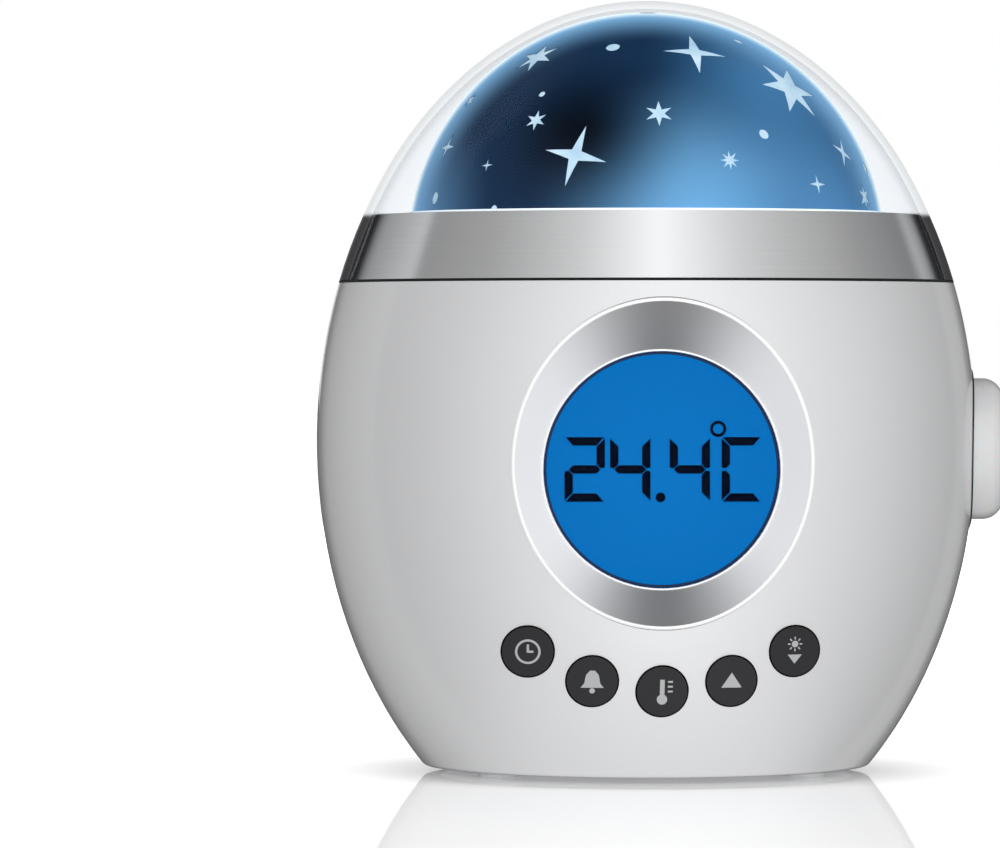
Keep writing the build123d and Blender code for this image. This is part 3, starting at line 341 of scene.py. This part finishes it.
def star_light():
    """Lit film behind the star windows: pale blue at the front, dark behind."""
    material = new_material(
        "star_light", (0.5, 0.7, 0.9), 0.5, Specular_IOR_Level=0.1, Emission_Strength=0.4,
    )
    parts = add_node(material, "ShaderNodeSeparateXYZ", {"Vector": place(material)})
    cloud = noise(material, place(material), 0.2, 3.0)
    pale = mix(material, span(material, cloud, 0, 1, 0.3, 0.7), (0.30, 0.46, 0.60), (0.46, 0.60, 0.70))
    behind = span(material, parts.outputs["Y"], 0, 1, -2, 2)
    colour = mix(material, behind, pale, (0.012, 0.04, 0.10))
    link(material, colour, "Base Color")
    link(material, colour, "Emission Color")
    return material


def lcd_glow():
    """Blue backlight, a little brighter towards its middle."""
    material = new_material(
        "lcd_glow", (0.0, 0.004, 0.012), 0.5, Specular_IOR_Level=0.0, Emission_Strength=1.0,
    )
    share = glow_from(material, (0, lcd_face / MM, display_z / MM), 34)
    link(material, mix(material, share, (0.001, 0.152, 0.49), (0.002, 0.172, 0.54)), "Emission Color")
    return material


def metal(name, colour, roughness):
    """Bare metal with an uneven gloss."""
    material = new_material(name, colour, roughness, Metallic=1.0)
    wear = noise(material, place(material), 2.0, 5.0)
    link(material, span(material, wear, roughness * 0.7, roughness * 1.4, 0.3, 0.7), "Roughness")
    mottle(material, colour, 0.06, 0.4)
    return material


pearl = pearl_housing()
finishes = {
    "front_shell": pearl,
    "rear_shell": pearl,
    "base_plate": moulded("base_white", (0.68, 0.685, 0.7), 0.42, 4.0, 0.01),
    "battery_door": moulded("door_white", (0.69, 0.695, 0.71), 0.42, 4.0, 0.01),
    "foot_pads": moulded(
        "foot_rubber", (0.86, 0.87, 0.88), 0.45, 3.0, 0.01, 0.02, Transmission_Weight=0.35, IOR=1.42,
    ),
    "battery_cells": moulded("cell_wrap", (0.03, 0.035, 0.05), 0.25),
    "battery_contacts": metal("nickel", (0.8, 0.78, 0.74), 0.22),
    "clear_cover": cover_plastic_painted_edges(),
    "trim_band": brushed_band(),
    "lamp_deck": moulded("black_plastic", (0.012, 0.012, 0.014), 0.45),
    "star_dome": night_sky_painted_glow(),
    "lamp_board": moulded("circuit_board", (0.03, 0.2, 0.09), 0.4, 3.0, 0.006, 0.15),
    "lamp_leds": clear_plastic("led_clear", 0.5, 1.45, 0.05),
    "display_bezel": dish_metal_painted_shine(),
    "display_window": clear_plastic("clear_window", 0.03),
    "lcd_panel": lcd_glow(),
    "display_light_guide": moulded("diffuser", (0.8, 0.83, 0.86), 0.3),
    "display_frame": moulded("white_plastic", (0.72, 0.72, 0.73), 0.4),
    "speaker_cone": moulded("paper", (0.02, 0.02, 0.02), 0.9, 4.0, 0.05, 0.2),
    "speaker_basket": metal("zinc", (0.3, 0.3, 0.31), 0.4),
    "dc_jack": moulded("jack_black", (0.012, 0.012, 0.013), 0.3),
    "dc_jack_pin": metal("pin_nickel", (0.85, 0.84, 0.8), 0.15),
    "light_button": moulded(
        "button_grey", (0.60, 0.605, 0.61), 0.32, 5.0, 0.006, 0.03, Coat_Weight=0.6,
        Coat_Roughness=0.1, Subsurface_Weight=0.3, Subsurface_Scale=0.004,
    ),
    "slide_knob": moulded("knob_white", (0.74, 0.745, 0.75), 0.35),
}
shared = {
    "white_plastic": ("speaker_clamp",),
    "circuit_board": ("front_board", "rear_board", "light_board"),
    "black_plastic": (
        "controller_chip", "temperature_sensor", "front_switches", "rear_switches", "light_switch",
        "slide_switch",
    ),
}
key_rubber = moulded(
    "key_rubber", (0.021, 0.021, 0.023), 0.45, 7.0, 0.012, 0.2, Specular_IOR_Level=0.25,
)
# Black for the joint round the housing's top, and painted shade in the gap round the side button.
dark_joint_and_shade = moulded("dark_joint_and_shade", (0.006, 0.006, 0.007), 0.6, Specular_IOR_Level=0.2)
screw_zinc = metal("screw_zinc", (0.6, 0.6, 0.61), 0.3)
for name, members in shared.items():
    for member in members:
        finishes[member] = bpy.data.materials[name]
for name in nodes:
    if name.startswith("button_"):
        finishes[name] = key_rubber
    elif name.endswith("_screws"):
        finishes[name] = screw_zinc
for name, node in nodes.items():
    node.data.materials.clear()
    node.data.materials.append(finishes[name])


# ================================================================ piece helpers
def finish_piece(piece, material, body):
    piece.data.materials.append(material)
    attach(piece, body)


def object_from(name, mesh):
    piece = bpy.data.objects.new(name, mesh)
    bpy.context.scene.collection.objects.link(piece)
    return piece


def prism_piece(name, outlines, at, depth):
    """Flat prisms: each outline is a list of (x, z) points, or a pair of lists round a hole.

    at(x, z) gives a point of the face, and the prisms run back from it by a depth along its normal."""
    mesh = bpy.data.meshes.new(name)
    work = bmesh.new()
    for outline in outlines:
        loops = outline if isinstance(outline[0][0], (tuple, list)) else [outline]
        edges = []
        for loop in loops:
            corners = [work.verts.new((x, 0, z)) for x, z in loop]
            edges += [work.edges.new((a, b)) for a, b in zip(corners, corners[1:] + corners[:1])]
        bmesh.ops.triangle_fill(work, edges=edges, use_beauty=True)
    faces = list(work.faces)
    made = bmesh.ops.extrude_face_region(work, geom=faces)
    back = {v for v in made["geom"] if isinstance(v, bmesh.types.BMVert)}
    for corner in work.verts:
        point, normal = at(corner.co.x, corner.co.z)
        corner.co = point - normal * depth if corner in back else point
    bmesh.ops.recalc_face_normals(work, faces=list(work.faces))
    work.to_mesh(mesh)
    work.free()
    return object_from(name, mesh)


def ring_piece(name, points, radius):
    """Round bead along a closed loop of points."""
    curve = bpy.data.curves.new(name, "CURVE")
    curve.dimensions = "3D"
    curve.bevel_depth = radius
    curve.bevel_resolution = bead_resolution
    line = curve.splines.new("POLY")
    line.points.add(len(points) - 1)
    for target, point in zip(line.points, points):
        target.co = (*point, 1)
    line.use_cyclic_u = True
    made = object_from(name + "_curve", curve)
    mesh = bpy.data.meshes.new_from_object(made)
    bpy.data.objects.remove(made)
    for face in mesh.polygons:
        face.use_smooth = True
    return object_from(name, mesh)


def turns_of(count):
    """Angles that share out a full turn."""
    return [2 * pi * i / count for i in range(count)]


def level_ring(radius, z):
    """Points of a level circle about the egg's axis."""
    return [(radius * cos(t), radius * sin(t), z) for t in turns_of(ring_steps)]


def window_ring(radius, y):
    """Points of an upright circle about the display's axis."""
    return [(radius * cos(t), y, display_z + radius * sin(t)) for t in turns_of(ring_steps)]


def circle(radius, x=0.0, z=0.0):
    return [(x + radius * cos(t), z + radius * sin(t)) for t in turns_of(circle_steps)]


def round_ring(radius, width, x=0.0, z=0.0):
    return [circle(radius, x, z), circle(radius - width, x, z)]


def bar(x0, z0, x1, z1, width):
    """Straight bar with square ends between two points."""
    along = Vector((x1 - x0, z1 - z0)).normalized()
    side = Vector((-along.y, along.x)) * width / 2
    ends = Vector((x0, z0)), Vector((x1, z1))
    return [tuple(ends[0] + side), tuple(ends[0] - side), tuple(ends[1] - side), tuple(ends[1] + side)]


# ================================================================ display
def flipped(shape, x_sign, z_sign):
    return [(x * x_sign, z * z_sign) for x, z in shape]


def segment_shapes(width):
    """Seven mitred segments about the digit's middle, named as usual from a to g."""
    w, h, t, g = width / 2, digit_height / 2, stroke, segment_gap
    top = [(-w + g, h), (w - g, h), (w - t, h - t), (-w + t, h - t)]
    upper = [(w, h - g), (w, g + t * 0.1), (w - t / 2, g), (w - t, t / 2 + g), (w - t, h - t - g)]
    middle = [
        (-w + t / 2, 0), (-w + t, t / 2), (w - t, t / 2),
        (w - t / 2, 0), (w - t, -t / 2), (-w + t, -t / 2),
    ]
    return {
        "a": top,
        "b": upper,
        "c": flipped(upper, 1, -1),
        "d": flipped(top, 1, -1),
        "e": flipped(upper, -1, -1),
        "f": flipped(upper, -1, 1),
        "g": middle,
    }


def display_digits():
    """Temperature readout: plain seven-segment digits, a dot and a degree sign."""
    signs = (
        (-13.97, "abged", digit_width),
        (-5.65, "fgbc", digit_width),
        (5.23, "fgbc", digit_width),
        (14.68, "afed", letter_width),
    )
    outlines = []
    for x_mm, lit, width in signs:
        shapes = segment_shapes(width)
        for key in lit:
            outlines.append([(x + x_mm * MM, z) for x, z in shapes[key]])
    dot = circle(0.9 * MM, -0.12 * MM, -5.1 * MM)
    degree_sign = round_ring(1.5 * MM, 0.58 * MM, 10.4 * MM, 7.4 * MM)
    outlines += [dot, degree_sign]
    face = lcd_face - ink_thickness - ink_gap
    forward = Vector((0, -1, 0))

    def on_panel(x, z):
        return Vector((x, face, display_z + z)), forward

    piece = prism_piece("display_digits", outlines, on_panel, ink_thickness)
    ink = moulded("lcd_ink", (0.001, 0.002, 0.008), 0.6, Specular_IOR_Level=0.0)
    finish_piece(piece, ink, "housing")


def egg_depth(x, z):
    """Depth of the egg's face at a place, from its radius and its top, which the frame gives."""
    half = cover_top_z - egg_middle_z
    radius = egg_radius * sqrt(1 - ((z - egg_middle_z) / half) ** 2)
    return sqrt(radius ** 2 - x ** 2)


def dish_edge(turn, spread):
    """Point where the dish's cone, widened by a spread, meets the egg."""
    low, high = dish_depth, egg_radius
    for _ in range(40):
        depth = (low + high) / 2
        radius = window_radius + spread + dish_slope * (depth - dish_depth)
        x, z = radius * cos(turn), display_z + radius * sin(turn)
        if egg_depth(x, z) > depth:
            low = depth
        else:
            high = depth
    return Vector((x, -depth, z))


def display_rims():
    """Bead round the dish, and the bright and dark beads round the window: painted highlights on the
    edges, and a painted shadow line inside the window's edge.
    """
    sunk = Vector((0, rim_sink, 0))
    rim = [dish_edge(t, rim_spread) + sunk for t in turns_of(ring_steps)]
    # Paler than the housing: a painted highlight on the rounded edge.
    soft = moulded("rim_highlight_white", (0.86, 0.865, 0.87), 0.5, Specular_IOR_Level=0.3)
    finish_piece(ring_piece("dish_rim", rim, rim_radius), soft, "housing")
    edge = ring_piece("window_edge", window_ring(window_radius, -dish_depth), edge_radius)
    # Bright bead: a painted highlight on the dish's inner edge.
    shine = metal("rim_shine", (0.93, 0.93, 0.94), 0.25)
    finish_piece(edge, shine, "housing")
    # Dark bead inside the bright one: a painted shadow line round the window.
    painted_dark = window_ring(window_radius - window_shadow_inset, window_face + window_shadow_radius / 2)
    window_shadow = moulded("window_shadow_line", (0.0, 0.01, 0.05), 0.5)
    finish_piece(ring_piece("window_shadow_line", painted_dark, window_shadow_radius), window_shadow, "housing")


# ================================================================ dark lines between the pieces
def seam_line():
    """Dark joint between the cover's foot and the housing, flush with the egg."""
    ring = level_ring(egg_depth(0, seam_z) - seam_radius, seam_z)
    finish_piece(ring_piece("seam_line", ring, seam_radius), dark_joint_and_shade, "housing")


def light_button_gap_shade():
    """Dark bead round the foot of the large side button, which follows the egg: painted shade in the gap
    there.
    """
    low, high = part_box("light_button")
    middle = (low + high) / 2
    reach = (high.z - low.z) / 2 + joint_gap
    ring = []
    for turn in turns_of(joint_steps):
        y, z = middle.y + reach * cos(turn), middle.z + reach * sin(turn)
        ring.append((egg_depth(y, z), y, z))
    gap_shade = ring_piece("light_button_gap_shade", ring, gap_shade_radius)
    finish_piece(gap_shade, dark_joint_and_shade, "housing")


# ================================================================ dome
def star_film():
    """Thin lit shell just inside the dome's outer face, seen through its star windows."""
    mesh = bpy.data.meshes.new("star_film")
    work = bmesh.new()
    for radius in (dome_radius - film_step, dome_radius - film_step - film_thickness):
        rows = []
        for i in range(film_rings):
            up = pi / 2 * i / film_rings
            out = radius * cos(up)
            z = dome_z + radius * sin(up)
            turns = turns_of(film_sides)
            rows.append([work.verts.new((out * cos(t), out * sin(t), z)) for t in turns])
        top = work.verts.new((0, 0, dome_z + radius))
        for low, high in zip(rows, rows[1:]):
            for j in range(film_sides):
                k = (j + 1) % film_sides
                work.faces.new((low[j], low[k], high[k], high[j]))
        for j in range(film_sides):
            work.faces.new((rows[-1][j], rows[-1][(j + 1) % film_sides], top))
    work.verts.ensure_lookup_table()
    half = len(work.verts) // 2
    for j in range(film_sides):
        k = (j + 1) % film_sides
        work.faces.new((work.verts[j], work.verts[half + j], work.verts[half + k], work.verts[k]))
    bmesh.ops.recalc_face_normals(work, faces=list(work.faces))
    work.to_mesh(mesh)
    work.free()
    for face in mesh.polygons:
        face.use_smooth = True
    finish_piece(object_from("star_film", mesh), star_light(), "housing")


def dome_foot_highlight():
    """Bright edge of the dome, just above the band: a glowing bead, a painted highlight where the dome
    meets the band.
    """
    ring = level_ring(dome_radius + foot_spread, band_top_z + foot_lift)
    line = moulded(
        "dome_foot_highlight", (0.8, 0.88, 0.95), 0.3, Emission_Color=(0.75, 0.88, 1, 1), Emission_Strength=0.4,
    )
    finish_piece(ring_piece("dome_foot_highlight", ring, foot_radius), line, "housing")


# ================================================================ icons on the buttons
def arc_band(x, radius, width, half_angle):
    """Part of a ring that opens to the left, about a point on the middle line."""
    steps = 10
    turns = [radians(-half_angle + half_angle * 2 * i / steps) for i in range(steps + 1)]
    outer = [(x + radius * cos(t), radius * sin(t)) for t in turns]
    inner = [(x + (radius - width) * cos(t), (radius - width) * sin(t)) for t in reversed(turns)]
    return outer + inner


def heart_outline(size, inner):
    """Heart curve at a size, with its hole as a share of it."""
    steps = 16
    side = []
    for i in range(steps + 1):
        t = pi * i / steps
        x = 16 * sin(t) ** 3
        z = 13 * cos(t) - 5 * cos(2 * t) - 2 * cos(3 * t) - cos(4 * t)
        side.append((x * size, z * size))
    outer = side + [(-x, z) for x, z in reversed(side[1:-1])]
    return [outer, [(x * inner, z * inner) for x, z in outer]]


def icon_shapes():
    """Plain icons about the button's middle, in millimetres."""
    clock = [round_ring(2.3, 0.42), bar(0, -0.15, 0, 1.35, 0.42), bar(-0.15, 0, 1.0, 0, 0.42)]
    bell_side = [(0.45, 2.0), (1.15, 1.2), (1.45, -0.4), (2.1, -1.2)]
    bell = [bell_side + [(-x, z) for x, z in reversed(bell_side)], circle(0.5, 0, -1.75)]
    thermometer = [
        circle(0.95, 0, -1.5),
        [(-0.42, -1.0), (0.42, -1.0), (0.42, 2.2), (-0.42, 2.2)],
        bar(1.0, 1.8, 1.9, 1.8, 0.34),
        bar(1.0, 0.9, 1.9, 0.9, 0.34),
        bar(1.0, 0.0, 1.9, 0.0, 0.34),
    ]
    up = [[(-1.9, -1.2), (1.9, -1.2), (0, 1.6)]]
    sun_z, start, end = 1.35, 0.85, 1.35
    sun = [circle(0.62, 0, sun_z)]
    for turn in turns_of(8):
        x, z = cos(turn), sin(turn)
        sun.append(bar(start * x, sun_z + start * z, end * x, sun_z + end * z, 0.26))
    down = sun + [[(-1.35, -0.6), (0, -2.3), (1.35, -0.6)]]
    timer = [
        [(-1.5, 2.1), (1.5, 2.1), (0.2, 0.0), (-0.2, 0.0)],
        [(-0.2, 0.0), (0.2, 0.0), (1.5, -2.1), (-1.5, -2.1)],
        bar(-1.9, 2.35, 1.9, 2.35, 0.36),
        bar(-1.9, -2.35, 1.9, -2.35, 0.36),
    ]
    volume = [
        [(-2.2, -0.65), (-1.2, -0.65), (-0.1, -1.7), (-0.1, 1.7), (-1.2, 0.65), (-2.2, 0.65)],
        arc_band(0.3, 1.1, 0.4, 50),
        arc_band(0.3, 2.0, 0.4, 50),
    ]
    tune = [
        circle(0.85, -0.95, -1.5),
        bar(-0.3, -1.5, -0.3, 2.1, 0.4),
        [(-0.5, 2.2), (1.6, 1.6), (1.6, 0.8), (-0.5, 1.4)],
    ]
    heart = [heart_outline(0.14, 0.74)]
    lamp = [round_ring(1.5, 0.4, 0, 0.6), [(-0.7, -1.1), (0.7, -1.1), (0.7, -2.1), (-0.7, -2.1)]]
    return {
        "button_clock": clock,
        "button_alarm": bell,
        "button_thermometer": thermometer,
        "button_up": up,
        "button_down": down,
        "button_timer": timer,
        "button_volume": volume,
        "button_tune": tune,
        "button_heart": heart,
        "button_light": lamp,
    }


def scaled(shape, size, flip):
    if isinstance(shape[0][0], (tuple, list)):
        return [scaled(loop, size, flip) for loop in shape]
    return [(x * size * flip, z * size) for x, z in shape]


def key_icons():
    """Icon printed on the curved face of each push button."""
    print_white = moulded("icon_print", (0.42, 0.425, 0.43), 0.5)
    for name, shapes in icon_shapes().items():
        node = nodes[name]
        low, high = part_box(name)
        side = -1 if low.y < 0 else 1
        middle = (low + high) / 2
        start = side * egg_radius * 1.5

        def on_face(x, z, node=node, middle=middle, side=side, start=start):
            origin = Vector((middle.x + x, start, middle.z + z))
            outwards = Vector((0, side, 0))
            point = node.ray_cast(origin, -outwards)[1]
            return point + outwards * icon_lift, outwards

        outlines = [scaled(shape, MM, -side) for shape in shapes]
        piece = prism_piece(name + "_icon", outlines, on_face, icon_depth)
        finish_piece(piece, print_white, name)


# ================================================================ camera, floor and light
def camera():
    """Long lens a little above half the object's height, and to the viewer's left of the display."""
    distance = 1.25
    heading = radians(3.2)
    height = 0.0806
    yaw = radians(1.271)
    pitch = radians(0.688)
    data = bpy.data.cameras.new("camera")
    data.sensor_width = 36.0
    data.lens = 236.9
    data.clip_start = 0.05
    data.clip_end = 50.0
    made = object_from("camera", data)
    made.location = (-distance * sin(heading), -distance * cos(heading), height)
    made.rotation_euler = (pi / 2 - pitch, 0, yaw - heading)
    bpy.context.scene.camera = made


def floor():
    """Pale glossy floor; it shows a faint image of the object, and casts no light of its own on it. Its
    glow fades out near the object, a painted shadow round its foot.
    """
    mesh = bpy.data.meshes.new("floor")
    corners = [(x * floor_half, y * floor_half, 0) for x, y in ((-1, -1), (1, -1), (1, 1), (-1, 1))]
    mesh.from_pydata(corners, [], [(0, 1, 2, 3)])
    made = object_from("floor", mesh)
    material = new_material(
        "floor_white", (0.93, 0.93, 0.935), 0.5, Specular_IOR_Level=0.0, Emission_Color=(1, 1, 1, 1),
    )
    inputs = {0: place(material)}
    away = add_node(material, "ShaderNodeVectorMath", inputs, operation="LENGTH").outputs["Value"]
    # Glow that fades out near the object: a painted shadow round its foot.
    glows = [span(material, away, 0, *glow, smooth=True) for glow in floor_glows_and_painted_shadow]
    link(material, sums(material, "ADD", *glows), "Emission Strength")
    gloss = add_node(material, "ShaderNodeBsdfGlossy", {"Color": (1, 1, 1, 1), "Roughness": 0.03})
    facing = add_node(material, "ShaderNodeLayerWeight", {"Blend": 0.5}).outputs["Facing"]
    mirror = span(material, facing, 0.02, 0.38, 0.4, 0.93)
    blend = add_node(material, "ShaderNodeMixShader", {
        0: mirror, 1: shader_of(material).outputs["BSDF"], 2: gloss.outputs["BSDF"],
    })
    output = material.node_tree.nodes["Material Output"]
    material.node_tree.links.new(blend.outputs["Shader"], output.inputs["Surface"])
    made.data.materials.append(material)
    made.visible_diffuse = False
    made.visible_glossy = False


def softbox(name, location, target, size, power):
    """Rectangular light that faces a point; the camera, the gloss and the clear pieces don't show it."""
    data = bpy.data.lights.new(name, "AREA")
    data.shape = "RECTANGLE"
    data.size, data.size_y = size
    data.energy = power
    made = object_from(name, data)
    made.location = location
    made.rotation_euler = (Vector(target) - Vector(location)).to_track_quat("-Z", "Y").to_euler()
    made.visible_camera = False
    made.visible_glossy = False
    made.visible_transmission = False


def studio_ring(sky, turn, settings):
    """Brightness of the studio all round: settings are (degrees from the front, brightness) in order."""
    brightest = max(level for _, level in settings)
    line = add_node(sky, "ShaderNodeValToRGB", {"Fac": span(sky, turn, 0, 1, -pi, pi)})
    stops = line.color_ramp.elements
    stops.remove(stops[1])
    for index, (degrees, level) in enumerate(settings):
        position = (degrees + 180) / 360
        stop = stops[0] if index == 0 else stops.new(position)
        stop.position = position
        stop.color = (*[level / brightest] * 3, 1)
    return sums(sky, "MULTIPLY", line.outputs["Color"], brightest)


def world():
    """Studio round the object: white behind it, a soft glow for matt faces, panels for glossy ones."""
    sky = bpy.data.worlds.new("studio")
    sky.use_nodes = True
    sky.cycles.sampling_method = "NONE"
    direction = add_node(sky, "ShaderNodeTexCoord").outputs["Generated"]
    parts = add_node(sky, "ShaderNodeSeparateXYZ", {"Vector": direction})
    backwards = sums(sky, "MULTIPLY", parts.outputs["Y"], -1)
    turn = sums(sky, "ARCTAN2", parts.outputs["X"], backwards)
    matt = studio_ring(sky, turn, (
        (-180, 0.60), (-150, 0.45), (-120, 0.22), (-90, 0.20), (-60, 0.36), (-30, 0.54), (5, 0.66),
        (35, 0.54), (65, 0.36), (90, 0.18), (120, 0.20), (150, 0.45), (180, 0.60),
    ))
    shiny = studio_ring(sky, turn, (
        (-180, 0.03), (-162, 0.05), (-153, 0.33), (-138, 0.46), (-124, 0.60), (-114, 0.73),
        (-110, 0.38), (-75, 0.50), (-52, 0.68), (-31, 0.87), (-18, 1.06), (3, 1.38), (20, 1.15),
        (39, 0.89), (61, 0.69), (85, 0.53), (99, 0.43), (131, 0.28), (137, 0.54), (149, 0.46),
        (156, 0.08), (161, 0.04), (180, 0.03),
    ))
    overhead = span(sky, parts.outputs["Z"], 0, 1, 0.35, 0.75, smooth=True)
    underfoot = span(sky, parts.outputs["Z"], 0, 1, -0.55, -0.9, smooth=True)
    matt = mix(sky, overhead, matt, (0.8, 0.8, 0.8))
    matt = mix(sky, underfoot, matt, (0.75, 0.75, 0.75))
    zenith = span(sky, parts.outputs["Z"], 0, 1, 0.76, 0.93, smooth=True)
    shiny = mix(sky, zenith, shiny, (0.1, 0.1, 0.1))
    shiny = mix(sky, underfoot, shiny, (0.8, 0.8, 0.8))
    straight_behind = span(sky, backwards, 1, 0, -0.995, -0.97, smooth=True)
    # The floor mirrors this patch above the horizon in the view from the front.
    above = span(sky, parts.outputs["Z"], 0, 1, 0.0, 0.004)
    white_patch = sums(sky, "MULTIPLY", above, straight_behind)
    shiny = mix(sky, white_patch, shiny, (1, 1, 1))
    path = add_node(sky, "ShaderNodeLightPath")
    colour = mix(sky, path.outputs["Is Glossy Ray"], matt, shiny)
    seen = sums(sky, "MAXIMUM", path.outputs["Is Camera Ray"], path.outputs["Is Transmission Ray"])
    colour = mix(sky, seen, colour, (1, 1, 1))
    sky.node_tree.links.new(colour, sky.node_tree.nodes["Background"].inputs["Color"])
    bpy.context.scene.world = sky


def lights():
    """One soft light in front and one behind."""
    centre = (0, 0, 0.075)
    softbox("key_front", (0.15, -1.6, 0.06), centre, (0.7, 0.7), 26)
    softbox("fill_back", (-0.1, 1.6, 0.5), centre, (0.9, 0.9), 16)


def clear_walls():
    """The cover and the window cast no shadow, and don't dim what shines through them."""
    for name in ("clear_cover", "display_window"):
        nodes[name].visible_shadow = False
        nodes[name].visible_diffuse = False
        nodes[name].visible_glossy = False


display_digits()
display_rims()
seam_line()
light_button_gap_shade()
star_film()
dome_foot_highlight()
key_icons()
camera()
floor()
world()
lights()
clear_walls()
bpy.context.scene.view_settings.view_transform = "Standard"
